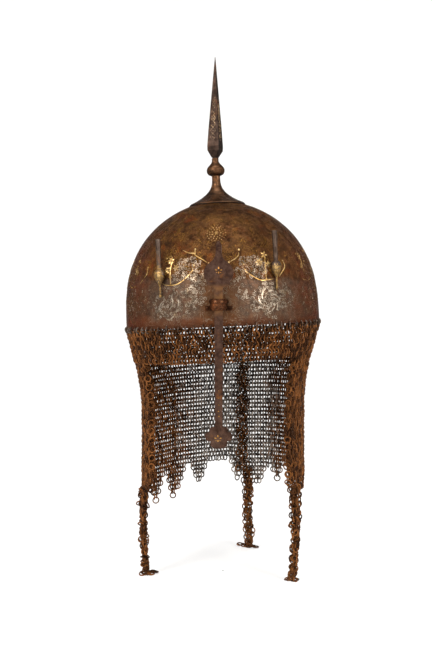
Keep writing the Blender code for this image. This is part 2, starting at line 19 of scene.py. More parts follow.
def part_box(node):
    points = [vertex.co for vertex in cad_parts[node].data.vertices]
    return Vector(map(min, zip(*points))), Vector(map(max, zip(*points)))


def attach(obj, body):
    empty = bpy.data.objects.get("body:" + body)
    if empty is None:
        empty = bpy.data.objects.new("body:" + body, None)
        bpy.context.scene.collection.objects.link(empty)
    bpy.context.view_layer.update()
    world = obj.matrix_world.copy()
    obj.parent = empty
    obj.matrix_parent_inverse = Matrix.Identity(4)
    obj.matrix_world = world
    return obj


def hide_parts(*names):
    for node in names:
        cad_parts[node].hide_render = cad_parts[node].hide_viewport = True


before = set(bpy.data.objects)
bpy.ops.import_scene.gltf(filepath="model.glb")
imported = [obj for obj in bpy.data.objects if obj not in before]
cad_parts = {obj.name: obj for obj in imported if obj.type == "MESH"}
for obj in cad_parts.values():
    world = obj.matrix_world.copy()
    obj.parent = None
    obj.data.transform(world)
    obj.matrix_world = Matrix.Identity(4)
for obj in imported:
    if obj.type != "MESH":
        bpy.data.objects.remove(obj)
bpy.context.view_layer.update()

LOG = logging.getLogger("kulah_khud")
MM = 0.001
SEED = 1147

Material = bpy.types.Material
Tree = bpy.types.NodeTree
Socket = bpy.types.NodeSocket
Colour = tuple[float, float, float, float]
Place = Callable[[float, float, float], Vector]


class Slot(Enum):
    """Names of material slots."""

    BOWL = "bowl_steel"
    SPIKE = "spike_steel"
    GILT = "gilt_steel"
    NASAL = "nasal_steel"
    MAIL = "mail_iron"


class Body(Enum):
    """CAD bodies that pieces ride on."""

    HELMET = "helmet"
    NASAL = "nasal"


class Kind(Enum):
    """Shader nodes: type, settings, the inputs that values go to in turn, and the output to use."""

    PLACE = ("TexCoord", {}, (), 3)
    WRAP = ("UVMap", {"uv_map": "wrap"}, (), 0)
    SHADE = ("Attribute", {"attribute_name": "shade"}, (), 2)
    BARE = ("Attribute", {"attribute_name": "bare"}, (), 2)
    SPLIT = ("SeparateXYZ", {}, (0,), 0)
    NOISE = ("TexNoise", {}, ("Vector", "Scale", "Detail", "Roughness", "Distortion"), 0)
    BAND = ("MapRange", {"interpolation_type": "SMOOTHSTEP"},
            ("Value", "From Min", "From Max", "To Min", "To Max"), 0)
    MIX = ("Mix", {"data_type": "RGBA"}, (0, 6, 7), 2)
    ADD = ("Math", {"operation": "ADD"}, (0, 1), 0)
    SUBTRACT = ("Math", {"operation": "SUBTRACT"}, (0, 1), 0)
    MULTIPLY = ("Math", {"operation": "MULTIPLY"}, (0, 1), 0)
    MAXIMUM = ("Math", {"operation": "MAXIMUM"}, (0, 1), 0)
    ABSOLUTE = ("Math", {"operation": "ABSOLUTE"}, (0,), 0)
    ROOT = ("Math", {"operation": "SQRT"}, (0,), 0)
    SINE = ("Math", {"operation": "SINE"}, (0,), 0)
    BUMP = ("Bump", {}, ("Height", "Distance", "Strength"), 0)


# Helpers

def linear(colour: str) -> Colour:
    """Linear RGBA of an sRGB hex colour such as #c9a050."""
    values = [int(colour[i:i + 2], 16) / 255 for i in (1, 3, 5)]
    turned = [v / 12.92 if v <= 0.04045 else ((v + 0.055) / 1.055) ** 2.4 for v in values]
    return (turned[0], turned[1], turned[2], 1.0)


def interpolate(table: Sequence[tuple[float, float]], at: float) -> float:
    """Value at a place in rows that rise in their first column, joined by straight lines."""
    for low, high in zip(table, table[1:]):
        if at <= high[0]:
            share = (at - low[0]) / (high[0] - low[0])
            return low[1] + (high[1] - low[1]) * share
    return table[-1][1]


def smooth_path(points: Sequence[Sequence[float]], parts: int = 6) -> list[tuple[float, float]]:
    """Points of a Catmull-Rom curve through the given ones.

    Args:
        points: surface coordinates.
        parts: steps from one point to the next.

    Returns:
        The curve's points, the given ones among them.
    """
    if len(points) < 3:
        return [tuple(p[:2]) for p in points]
    knots = [points[0], *points, points[-1]]
    made = []
    for k in range(1, len(knots) - 2):
        before, start, end, after = (np.array(knots[k + i][:2], float) for i in (-1, 0, 1, 2))
        for part in range(parts):
            t = part / parts
            made.append(tuple(0.5 * (2 * start + (end - before) * t
                                     + (2 * before - 5 * start + 4 * end - after) * t ** 2
                                     + (3 * start - before - 3 * end + after) * t ** 3)))
    made.append(tuple(points[-1][:2]))
    return made


def node(tree: Tree, kind: Kind, *values: Socket | float | Colour) -> Socket:
    """Add a node with its settings, and link or fill its inputs.

    Args:
        tree: the node tree.
        kind: which node, with its settings and sockets.
        values: numbers, colours or other nodes' outputs, in the order of its inputs. A sum or product
            of more than two takes as many nodes as it needs.

    Returns:
        The output that this kind gives.
    """
    name, settings, sockets, output = kind.value
    if name == "Math" and len(values) > 2:
        values = (node(tree, kind, *values[:-1]), values[-1])
    made = tree.nodes.new("ShaderNode" + name)
    for key, setting in settings.items():
        setattr(made, key, setting)
    for socket, value in zip(sockets, values):
        if isinstance(value, Socket):
            tree.links.new(value, made.inputs[socket])
        else:
            made.inputs[socket].default_value = value
    return made.outputs[output]


def new_material(name: str) -> tuple[Material, Tree, Socket]:
    """A new material with its tree and the place in metres."""
    material = bpy.data.materials.new(name)
    material.use_nodes = True
    tree = material.node_tree
    return material, tree, node(tree, Kind.PLACE)


def finish(tree: Tree, metallic: float, rim: str, colour: Socket, rough: Socket, height: Socket,
           depth: float, strength: float = 0.8) -> None:
    """Wire a metal's layers into the shader.

    Args:
        tree: the material's node tree.
        metallic: share of bare metal.
        rim: colour at a glancing angle.
        colour: base colour.
        rough: roughness.
        height: relief from 0 to about 1.
        depth: what 1 of the height measures, in metres.
        strength: how clearly the relief shows.
    """
    shader = tree.nodes["Principled BSDF"]
    shader.inputs["Metallic"].default_value = metallic
    shader.inputs["Specular Tint"].default_value = linear(rim)
    tree.links.new(colour, shader.inputs["Base Color"])
    tree.links.new(rough, shader.inputs["Roughness"])
    tree.links.new(node(tree, Kind.BUMP, height, depth, strength), shader.inputs["Normal"])


def worms(tree: Tree, place: Socket, size: float, width: float) -> Socket:
    """Curling lines like a chiselled vine ground: the contours of a noise.

    Args:
        tree: the node tree.
        place: where on the piece.
        size: size of the noise in metres, about four times the distance from line to line.
        width: width of a line, as a share.

    Returns:
        1 in a line and 0 beside it.
    """
    contours = 42.0
    hills = node(tree, Kind.NOISE, place, 1 / size, 1.5, 0.4, 0.6)
    wave = node(tree, Kind.SINE, node(tree, Kind.MULTIPLY, hills, contours))
    return node(tree, Kind.BAND, node(tree, Kind.ABSOLUTE, wave), width, width * 0.35)


class MeshMaker:
    """Gathers points and faces, and makes one mesh object of them."""

    def __init__(self) -> None:
        """Start with no points and no faces."""
        self.points: list[Vector] = []
        self.faces: list[tuple[int, ...]] = []

    def add(self, points: Iterable[Vector], faces: Iterable[Sequence[int]]) -> None:
        """Take in points, and faces that number them from their own start."""
        base = len(self.points)
        self.points.extend(points)
        self.faces.extend(tuple(base + i for i in face) for face in faces)

    def lattice(self, rows: Sequence[Sequence[Vector]], closed: bool = True, ends_meet: bool = False) -> None:
        """Take in rows of points, with quads between neighbouring rows.

        Args:
            rows: as many points in each.
            closed: whether a row's last point joins its first.
            ends_meet: whether the last row joins the first.
        """
        across = len(rows[0])
        faces = []
        for row in range(len(rows) if ends_meet else len(rows) - 1):
            here, ahead = row * across, (row + 1) % len(rows) * across
            for step in range(across if closed else across - 1):
                after = (step + 1) % across
                faces.append((here + step, here + after, ahead + after, ahead + step))
        self.add([point for row in rows for point in row], faces)

    def make(self, name: str, material: Material, smooth: bool = True) -> bpy.types.Object:
        """Make the object, with its material."""
        mesh = bpy.data.meshes.new(name)
        mesh.from_pydata(self.points, [], self.faces)
        mesh.materials.append(material)
        mesh.polygons.foreach_set("use_smooth", [smooth] * len(mesh.polygons))
        obj = bpy.data.objects.new(name, mesh)
        bpy.context.scene.collection.objects.link(obj)
        return obj


def settle(obj: bpy.types.Object, body: Body, replaces: Sequence[str] = ()) -> None:
    """Make a new piece ride on its body, and report it."""
    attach(obj, body.value)
    if replaces:
        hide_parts(*replaces)
    LOG.info("%s: %d faces", obj.name, len(obj.data.polygons))


# Finishes

@dataclass
class Layers:
    """What a finish is built up from, before it is wired into the shader.

    Attributes:
        tree: the material's node tree.
        place: where on the piece, in metres.
        colour: base colour so far.
        rough: roughness so far.
        height: relief so far, from 0 to about 1.
    """

    tree: Tree
    place: Socket
    colour: Socket
    rough: Socket
    height: Socket

    def add(self, kind: Kind, *values: Socket | float | Colour) -> Socket:
        """Add a node to the tree, as the function node does."""
        return node(self.tree, kind, *values)


@dataclass(frozen=True)
class Steel:
    """Old steel, patinated and worn; each use gives its own colours.

    Attributes:
        name: the material's name, for the real metal and how it was worked.
        dark: colour in the hollows.
        mid: colour over most of it.
        rust: colour of the rust blooms.
        sheen: colour where it is rubbed bright.
        rust_share: how much of it the rust takes.
        rough: lowest and highest roughness.
        grain: size of the finest pitting, in metres.
        metallic: share of bare metal.
        rim: colour at a glancing angle, dulled by the patina.
    """

    name: str
    dark: str
    mid: str
    rust: str
    sheen: str
    rust_share: float = 0.4
    rough: tuple[float, float] = (0.34, 0.62)
    grain: float = 0.6 * MM
    metallic: float = 0.85
    rim: str = "#7d6a5c"

    # Sizes of the rubbed areas, the mottling and the rust blooms
    CLOUD = 26 * MM
    MOTTLE = 5 * MM
    BLOOM = 15 * MM
    RELIEF = 0.12 * MM

    def layers(self, tree: Tree, place: Socket) -> Layers:
        """The steel before any ornament.

        Args:
            tree: the material's node tree.
            place: where on the piece, in metres.

        Returns:
            Its colour, roughness and height.
        """
        cloud = node(tree, Kind.NOISE, place, 1 / self.CLOUD, 5.0, 0.6)
        mottle = node(tree, Kind.NOISE, place, 1 / self.MOTTLE, 5.0, 0.65)
        pits = node(tree, Kind.NOISE, place, 1 / self.grain, 2.0, 0.6)
        bloom = node(tree, Kind.NOISE, place, 1 / self.BLOOM, 6.0, 0.7, 0.4)
        rusted = node(tree, Kind.BAND, bloom, 0.62 - 0.3 * self.rust_share, 0.70, 0.0, 0.9)
        rubbed = node(tree, Kind.BAND, cloud, 0.50, 0.78, 0.0, 0.35)
        pitted = node(tree, Kind.BAND, pits, 0.5, 0.36, 0.0, 0.45)
        clear = node(tree, Kind.BAND, mottle, 0.32, 0.68)
        colour = node(tree, Kind.MIX, clear, linear(self.dark), linear(self.mid))
        for share, tint in ((rusted, self.rust), (rubbed, self.sheen), (pitted, self.dark)):
            colour = node(tree, Kind.MIX, share, colour, linear(tint))
        rough = node(tree, Kind.BAND, mottle, 0.3, 0.7, self.rough[1], self.rough[0])
        rough = node(tree, Kind.ADD, rough, node(tree, Kind.MULTIPLY, rusted, 0.15))
        height = node(tree, Kind.ADD, node(tree, Kind.MULTIPLY, pits, 0.35),
                      node(tree, Kind.MULTIPLY, mottle, 0.65))
        return Layers(tree, place, colour, rough, height)

    def ornament(self, on: Layers) -> None:
        """Lay over the steel what a finish of its own needs: nothing here."""

    def build(self) -> Material:
        """The steel with what lies over it."""
        material, tree, place = new_material(self.name)
        on = self.layers(tree, place)
        self.ornament(on)
        finish(tree, self.metallic, self.rim, on.colour, on.rough, on.height, self.RELIEF)
        return material


@dataclass(frozen=True)
class BowlSteel(Steel):
    """Russet steel with a chiselled vine ground, gold in its upper part and silver in the lower.

    Attributes:
        gold: colour of the gold that is left in the ground.
        silver: colour of the silver that is left.
        grey: colour of the lower front, where the russet is rubbed off.
        stain: colour of the rust round the bracket.
        line: height of the line between the gold and the silver.
        bracket: x of the bracket.
    """

    gold: str = "#a87a34"
    silver: str = "#a59a88"
    grey: str = "#473b33"
    stain: str = "#4c2f18"
    line: float = 47 * MM
    bracket: float = -1.0 * MM

    RELIEF = 0.22 * MM
    # Where the front ends and the side starts, out from the middle
    SIDE = (62 * MM, 88 * MM)
    # Sizes of the vine and the finer vine; the real ones are finer, and would not show
    VINE = 9 * MM
    FINE_VINE = 6.5 * MM
    # How far the line between gold and silver wavers, and over what length
    WAVER = 16 * MM
    WAVER_LENGTH = 22 * MM
    # Sizes of the patches of rust and of wear
    RUST_PATCH = 9 * MM
    WORN_PATCH = 11 * MM
    # Where the bracket's stain sets in and is full: out to the side, upwards and round the bowl
    STAIN_SIDE = (24 * MM, 12 * MM)
    STAIN_UP = (48 * MM, 38 * MM)
    STAIN_DEEP = (-60 * MM, -80 * MM)
    # Heights where the rim's rust sets in and is full
    RIM_RUST = (12 * MM, 2 * MM)

    def ornament(self, on: Layers) -> None:
        """Russet above, grey-brown below, reddish round the sides, rusty at the rim and the bracket."""
        across, deep, up = on.add(Kind.SPLIT, on.place).node.outputs
        off = on.add(Kind.ABSOLUTE, across)

        def from_front(front: float, side: float) -> Socket:
            """A share that changes from the front to the sides."""
            return on.add(Kind.BAND, off, *self.SIDE, front, side)

        drift = on.add(Kind.SUBTRACT, on.add(Kind.NOISE, on.place, 1 / self.WAVER_LENGTH, 5.0, 0.55), 0.5)
        level = on.add(Kind.ADD, up, on.add(Kind.MULTIPLY, drift, self.WAVER))
        low = on.add(Kind.BAND, level, self.line + 2 * MM, self.line - 3 * MM)
        patchy = on.add(Kind.BAND, on.add(Kind.NOISE, on.place, 1 / self.RUST_PATCH, 5.0, 0.55), 0.3, 0.7)
        beside = on.add(Kind.ABSOLUTE, on.add(Kind.SUBTRACT, across, self.bracket))
        round_bracket = on.add(Kind.MULTIPLY, on.add(Kind.BAND, beside, *self.STAIN_SIDE),
                               on.add(Kind.BAND, level, *self.STAIN_UP),
                               on.add(Kind.BAND, deep, *self.STAIN_DEEP, 0.0, 0.6))
        wrap = on.add(Kind.WRAP)
        vine = worms(on.tree, wrap, self.VINE, 0.42)
        fine = worms(on.tree, wrap, self.FINE_VINE, 0.36)
        worn = on.add(Kind.BAND, on.add(Kind.NOISE, on.place, 1 / self.WORN_PATCH, 5.0, 0.7), 0.38, 0.62)
        high = on.add(Kind.BAND, level, self.line, self.line + 6 * MM)
        gilt = on.add(Kind.MULTIPLY, fine, worn, high, from_front(0.62, 0.27))
        silvered = on.add(Kind.MULTIPLY, vine, worn, low, from_front(0.3, 0.08))
        for share, tint in ((on.add(Kind.MULTIPLY, low, from_front(0.5, 0.275)), self.grey),
                            (on.add(Kind.MULTIPLY, from_front(0.0, 0.6), patchy), self.rust),
                            (round_bracket, self.stain),
                            (on.add(Kind.BAND, level, *self.RIM_RUST, 0.0, 0.45), self.rust),
                            (gilt, self.gold),
                            (silvered, self.silver)):
            on.colour = on.add(Kind.MIX, share, on.colour, linear(tint))
        ground = on.add(Kind.MULTIPLY, on.add(Kind.ADD, fine, vine), 0.55)
        on.rough = on.add(Kind.SUBTRACT, on.rough, on.add(Kind.MULTIPLY, silvered, 0.2))
        on.height = on.add(Kind.ADD, on.height, ground)


@dataclass(frozen=True)
class Inlay(Steel):
    """Gold or silver wire hammered into the steel, worn through in places.

    Attributes:
        through: colour of the steel that shows where the metal is gone.
        wear: how much of it is gone.
    """

    through: str = "#4a3424"
    wear: float = 0.42

    RELIEF = 0.06 * MM
    # Where the front ends and the side starts, out from the middle
    SIDE = (58 * MM, 86 * MM)
    # Size of the worn patches
    PATCH = 3.2 * MM

    def ornament(self, on: Layers) -> None:
        """Bright metal that breaks up where it is worn down to the steel, most at the sides."""
        off = on.add(Kind.ABSOLUTE, on.add(Kind.SPLIT, on.place))
        more = on.add(Kind.BAND, off, *self.SIDE, 0.0, 0.16)
        patches = on.add(Kind.SUBTRACT, on.add(Kind.NOISE, on.place, 1 / self.PATCH, 4.0, 0.7), more)
        lost = on.add(Kind.BAND, patches, self.wear, self.wear - 0.12)
        on.colour = on.add(Kind.MIX, lost, on.colour, linear(self.through))
        on.rough = on.add(Kind.ADD, on.rough, on.add(Kind.MULTIPLY, lost, 0.25))


@dataclass(frozen=True)
class GiltHolder(Steel):
    """A plume holder: a bare steel tube, and a boss and tail with worn gilding.

    Attributes:
        gold: colour of the gilding.
        boss_top: height of the boss's upper end.
        middle: the boss's middle, out from the helmet's axis; the gilding is gone behind it, and painted
            shade darkens the steel there.
    """

    gold: str = "#80643a"
    boss_top: float = 59.0 * MM
    middle: float = 99.0 * MM

    # Sizes of the dark vine in the gilding and of its worn patches
    VINE = 9 * MM
    PATCH = 3 * MM

    def ornament(self, on: Layers) -> None:
        """Steel above the boss, gilt with a dark vine pattern below, and painted shade on the side towards
        the bowl.
        """
        across, deep, up = on.add(Kind.SPLIT, on.place).node.outputs
        squares = [on.add(Kind.MULTIPLY, side, side) for side in (across, deep)]
        reach = on.add(Kind.ROOT, on.add(Kind.ADD, *squares))
        behind, ahead = self.middle - 1.0 * MM, self.middle + 2.0 * MM
        gilt = on.add(Kind.MULTIPLY, on.add(Kind.SUBTRACT, 1.0, worms(on.tree, on.place, self.VINE, 0.6)),
                      on.add(Kind.BAND, on.add(Kind.NOISE, on.place, 1 / self.PATCH, 5.0, 0.65), 0.36, 0.52),
                      on.add(Kind.BAND, up, self.boss_top + 1.5 * MM, self.boss_top - 1.0 * MM),
                      on.add(Kind.BAND, reach, behind, ahead))
        # Painted shade: darker behind the middle, on the side that faces the bowl
        on.colour = on.add(Kind.MIX, on.add(Kind.BAND, reach, behind, ahead, 0.7, 0.0), on.colour,
                           linear(self.dark))
        on.colour = on.add(Kind.MIX, gilt, on.colour, linear(self.gold))
        on.height = on.add(Kind.ADD, on.height, on.add(Kind.MULTIPLY, gilt, 0.8))


@dataclass(frozen=True)
class NasalSteel(Steel):
    """Nasal: smooth brown palmette and finial, and a bar with rust near its bracket.

    Attributes:
        bar_rust: colour of that rust.
    """

    bar_rust: str = "#62442a"

    # Size of the rust's patches, and the heights where it sets in and is full, from below and above
    PATCH = 6 * MM
    FROM_BELOW = (8 * MM, 16 * MM)
    FROM_ABOVE = (42 * MM, 36 * MM)

    def ornament(self, on: Layers) -> None:
        """Rust gathers where the bar meets the bracket."""
        _, _, up = on.add(Kind.SPLIT, on.place).node.outputs
        cloudy = on.add(Kind.NOISE, on.place, 1 / self.PATCH, 5.0, 0.55)
        near = on.add(Kind.MULTIPLY, on.add(Kind.BAND, up, *self.FROM_BELOW),
                      on.add(Kind.BAND, up, *self.FROM_ABOVE),
                      on.add(Kind.BAND, cloudy, 0.3, 0.6, 0.0, 0.8))
        on.colour = on.add(Kind.MIX, near, on.colour, linear(self.bar_rust))


@dataclass(frozen=True)
class BracketSteel(Steel):
    """Bracket: rusted strap, with painted shade in the angles towards its feet.

    Attributes:
        middle: x of the strap.
        half: half of the strap's width.
        low: height of the strap's lower edge.
    """

    middle: float = -1.0 * MM
    half: float = 7.5 * MM
    low: float = 17.0 * MM

    def ornament(self, on: Layers) -> None:
        """Painted shade darkens both sides and the part under the lower ridge, which are also made rougher.
        """
        across, _, up = on.add(Kind.SPLIT, on.place).node.outputs
        off = on.add(Kind.ABSOLUTE, on.add(Kind.SUBTRACT, across, self.middle))
        # Painted shade: dark at the strap's sides and under its lower ridge
        painted_shade = on.add(Kind.MAXIMUM,
                      on.add(Kind.BAND, off, self.half - 1.5 * MM, self.half + 1.0 * MM, 0.0, 0.75),
                      on.add(Kind.BAND, up, self.low, self.low - 2.0 * MM, 0.0, 0.75))
        on.colour = on.add(Kind.MIX, painted_shade, on.colour, linear(self.dark))
        on.rough = on.add(Kind.ADD, on.rough, on.add(Kind.MULTIPLY, painted_shade, 0.2))


@dataclass(frozen=True)
class MailIron:
    """Wire rings: rusty outside, rubbed grey towards the back, with each ring its own shade.

    Attributes:
        name: the material's name.
        rust: colours of the rusty rings, dark and bright.
        bare: colours of the rubbed rings, dark and bright.
        rim: colour at a glancing angle.
        metallic: share of bare metal.
        grain: size of the rust's grains.
        patch: size of the rubbed patches.
    """

    name: str = "Rusted iron wire, drawn and riveted"
    rust: tuple[str, str] = ("#2b1a10", "#754a28")
    bare: tuple[str, str] = ("#3a332e", "#9a9087")
    rim: str = "#7a6a5c"
    metallic: float = 0.7
    grain: float = 1.6 * MM
    patch: float = 14 * MM

    def build(self) -> Material:
        """The ring's own shade and bareness come from two attributes of its mesh."""
        material, tree, place = new_material(self.name)
        grain = node(tree, Kind.NOISE, place, 1 / self.grain, 4.0, 0.65)
        patch = node(tree, Kind.SUBTRACT, node(tree, Kind.NOISE, place, 1 / self.patch, 4.0, 0.6), 0.5)
        tone = node(tree, Kind.ADD, node(tree, Kind.MULTIPLY, grain, 0.6),
                    node(tree, Kind.MULTIPLY, node(tree, Kind.SHADE), 0.5))
        tone = node(tree, Kind.BAND, tone, 0.28, 0.85)
        rusty = node(tree, Kind.MIX, tone, *map(linear, self.rust))
        grey = node(tree, Kind.MIX, tone, *map(linear, self.bare))
        rubbed = node(tree, Kind.ADD, node(tree, Kind.BARE), node(tree, Kind.MULTIPLY, patch, 0.9))
        rubbed = node(tree, Kind.BAND, rubbed, 0.35, 0.75)
        finish(tree, self.metallic, self.rim, node(tree, Kind.MIX, rubbed, rusty, grey),
               node(tree, Kind.BAND, rubbed, 0.0, 1.0, 0.55, 0.38), grain, 0.08 * MM, 0.7)
        return material


# The bowl's form, which its ornament and the mail need too

def around(angle: float, radius: float = 1.0, height: float = 0.0) -> Vector:
    """Place at an angle in radians from the front, towards +X."""
    return Vector((radius * math.sin(angle), -radius * math.cos(angle), height))


@dataclass(frozen=True)
class BowlForm:
    """Outline of the bowl, and places on its outside.

    Attributes:
        radius: outside radius at the rim.
        height: apex above the rim.
        wall: thickness of the steel.
        shoulder: power of the height in the superellipse.
        crown: power of the radius.
        tilt: lean of the bowl's axis towards -X.
    """

    radius: float = 102.4 * MM
    height: float = 132.0 * MM
    wall: float = 1.6 * MM
    shoulder: float = 2.8
    crown: float = 1.75
    tilt: float = math.radians(2.7)

    def radius_at(self, height: float) -> float:
        """Outside radius at a height."""
        share = min(max(height / self.height, 0.0), 1.0)
        return self.radius * (1 - share ** self.shoulder) ** (1 / self.crown)

    def tilted(self, spot: Vector) -> Vector:
        """A place in the bowl's own frame, in the shared frame."""
        return Matrix.Rotation(-self.tilt, 3, "Y") @ spot

    def place(self, azimuth: float, height: float, proud: float = 0.0) -> Vector:
        """Place on the outside at an azimuth in degrees and a height in metres.

        Args:
            azimuth: degrees from the front, towards +X.
            height: above the rim, along the bowl's axis.
            proud: distance out from the surface.

        Returns:
            The place in the shared frame.
        """
        step = 0.2 * MM
        here = self.radius_at(height)
        slope = (self.radius_at(height + step) - self.radius_at(height - step)) / (2 * step)
        out = Vector((1.0, -slope)).normalized()
        return self.tilted(around(math.radians(azimuth), here + proud * out.x, height + proud * out.y))


@dataclass
class Bowl:
    """The steel bowl, turned in fine steps, with a flat lip.

    Attributes:
        form: its outline.
        rings: steps from the rim to the apex.
        steps: steps once round.
    """

    form: BowlForm
    rings: int = 72
    steps: int = 192

    def outline(self) -> list[tuple[float, float]]:
        """(radius, height) from the rim up to the apex, with even spacing near both ends."""
        points = []
        for ring in range(self.rings + 1):
            angle = math.pi / 2 * ring / self.rings
            radius = self.form.radius * math.cos(angle) ** (2 / self.form.crown)
            points.append((radius, self.form.height * math.sin(angle) ** (2 / self.form.shoulder)))
        points[-1] = (0.02 * MM, self.form.height)
        return points

    def build(self, material: Material) -> None:
        """Turn the bowl's outside and inside, and close the lip between them.

        A map of metres round and up it, named wrap, carries the chiselled ground.
        """
        form = self.form
        outer = self.outline()
        inner = []
        for i, (radius, height) in enumerate(outer):
            ahead = outer[min(i + 1, len(outer) - 1)]
            behind = outer[max(i - 1, 0)]
            out = Vector((ahead[1] - behind[1], behind[0] - ahead[0])).normalized()
            inner.append((max(radius - form.wall * out.x, 0.01 * MM), max(height - form.wall * out.y, 0.0)))
        profile = list(reversed(inner)) + outer
        run = [0.0]
        for low, high in zip(profile, profile[1:]):
            run.append(run[-1] + math.dist(low, high))
        start = run[len(inner)]
        rows, wraps = [], []
        turns = [2 * math.pi * step / self.steps for step in range(self.steps + 1)]
        for (radius, height), along in zip(profile, run):
            rows.append([form.tilted(around(turn, radius, height)) for turn in turns])
            wraps += [(turn * form.radius, along - start) for turn in turns]
        maker = MeshMaker()
        maker.lattice(rows, closed=False)
        obj = maker.make("bowl_detailed", material)
        layer = obj.data.uv_layers.new(name="wrap")
        for loop in obj.data.loops:
            layer.data[loop.index].uv = wraps[loop.vertex_index]
        settle(obj, Body.HELMET, ["bowl"])


# Ornament

class Inlayer:
    """Lays raised ribbons, leaves and dots of one metal on a surface.

    Args:
        place: gives the spot for two surface coordinates and a distance out from the surface.
        scale: metres for one unit of each surface coordinate.
        proud: how far the metal stands out.
        sunk: where its edges end, under the surface.
    """

    def __init__(self, place: Place, scale: tuple[float, float], proud: float = 0.22 * MM,
                 sunk: float = -0.10 * MM) -> None:
        """Start with nothing laid."""
        self.place = place
        self.scale = scale
        self.proud = proud
        self.sunk = sunk
        self.maker = MeshMaker()

    def ribbon(self, points: Sequence[Sequence[float]], width: float, taper: float = 0.35,
               parts: int = 6) -> None:
        """A stem through the points, widest in its middle.

        Args:
            points: surface coordinates.
            width: real width in metres.
            taper: share of the width that is left at its ends.
            parts: steps from one point to the next.
        """
        path = np.array(smooth_path(points, parts))
        real = path * np.array(self.scale)
        lean = np.gradient(real, axis=0)
        lean /= np.maximum(np.linalg.norm(lean, axis=1, keepdims=True), 1e-9)
        side = np.stack([-lean[:, 1], lean[:, 0]], 1) / np.array(self.scale)
        verts, faces = [], []
        last = len(path) - 1
        for i, (spot, off) in enumerate(zip(path, side)):
            grown = taper + (1 - taper) * math.sin(math.pi * min(max(i / last, 0.04), 0.96)) ** 0.6
            half = width / 2 * grown
            for share, out in ((-1, self.sunk), (-0.5, self.proud), (0.5, self.proud), (1, self.sunk)):
                where = spot + off * half * share
                verts.append(self.place(where[0], where[1], out))
        for i in range(last):
            for k in range(3):
                faces.append((4 * i + k, 4 * i + k + 1, 4 * i + k + 5, 4 * i + k + 4))
        faces.append((3, 2, 1, 0))
        faces.append((4 * last, 4 * last + 1, 4 * last + 2, 4 * last + 3))
        self.maker.add(verts, faces)

    def leaf(self, at: Sequence[float], turn: float, length: float, width: float) -> None:
        """A pointed leaf or petal that starts at a spot.

        Args:
            at: surface coordinates of its foot.
            turn: direction in radians, 0 along the first coordinate.
            length: real length in metres.
            width: real width in metres.
        """
        ahead = np.array([math.cos(turn), math.sin(turn)])
        side = np.array([-ahead[1], ahead[0]])
        rim = [(0.0, 0.0), (0.25, 0.38), (0.55, 0.5), (0.82, 0.30), (1.0, 0.0),
               (0.82, -0.30), (0.55, -0.5), (0.25, -0.38)]
        verts = []
        for along, across in rim:
            where = np.array(at[:2]) + (ahead * length * along + side * width * across) / np.array(self.scale)
            verts.append(self.place(where[0], where[1], self.sunk))
        middle = np.array(at[:2]) + ahead * length * 0.5 / np.array(self.scale)
        verts.append(self.place(middle[0], middle[1], self.proud * 1.2))
        self.maker.add(verts, [(i, (i + 1) % 8, 8) for i in range(8)])

    def dot(self, at: Sequence[float], radius: float) -> None:
        """A domed dot of a real radius in metres."""
        verts = []
        for i in range(8):
            turn = math.pi / 4 * i
            verts.append(self.place(at[0] + radius * math.cos(turn) / self.scale[0],
                                    at[1] + radius * math.sin(turn) / self.scale[1], self.sunk))
        verts.append(self.place(at[0], at[1], self.proud * 1.4))
        self.maker.add(verts, [(i, (i + 1) % 8, 8) for i in range(8)])

    def flower(self, at: Sequence[float], petals: int, length: float, width: float,
               turn: float = 0.0) -> None:
        """Petals round a dot; length and width are a petal's, in metres."""
        for i in range(petals):
            self.leaf(at, turn + 2 * math.pi * i / petals, length, width)
        self.dot(at, width * 0.4)

    def scroll(self, at: Sequence[float], radius: float, turns: float, width: float, start: float,
               hand: int, leaves: int) -> None:
        """A spiral vine that curls in to a bud, with leaves on its outer side.

        Args:
            at: surface coordinates of the middle.
            radius: real outer radius in metres.
            turns: how many times it goes round.
            width: real width of the stem.
            start: angle of its outer end in radians.
            hand: 1 or -1, the way that it curls.
            leaves: how many leaves grow from it.
        """
        points = []
        count = max(6, int(turns * 8))
        for i in range(count + 1):
            share = i / count
            reach = radius * (1 - 0.82 * share)
            angle = start + hand * 2 * math.pi * turns * share
            points.append((at[0] + reach * math.cos(angle) / self.scale[0],
                           at[1] + reach * math.sin(angle) / self.scale[1]))
        self.ribbon(points, width, parts=2)
        self.dot(points[-1], width * 0.9)
        for i in range(leaves):
            spot = points[int((i + 0.6) * count * 0.62 / max(leaves, 1))]
            outward = math.atan2((spot[1] - at[1]) * self.scale[1], (spot[0] - at[0]) * self.scale[0])
            self.leaf(spot, outward + hand * 0.7, radius * 0.42, radius * 0.20)


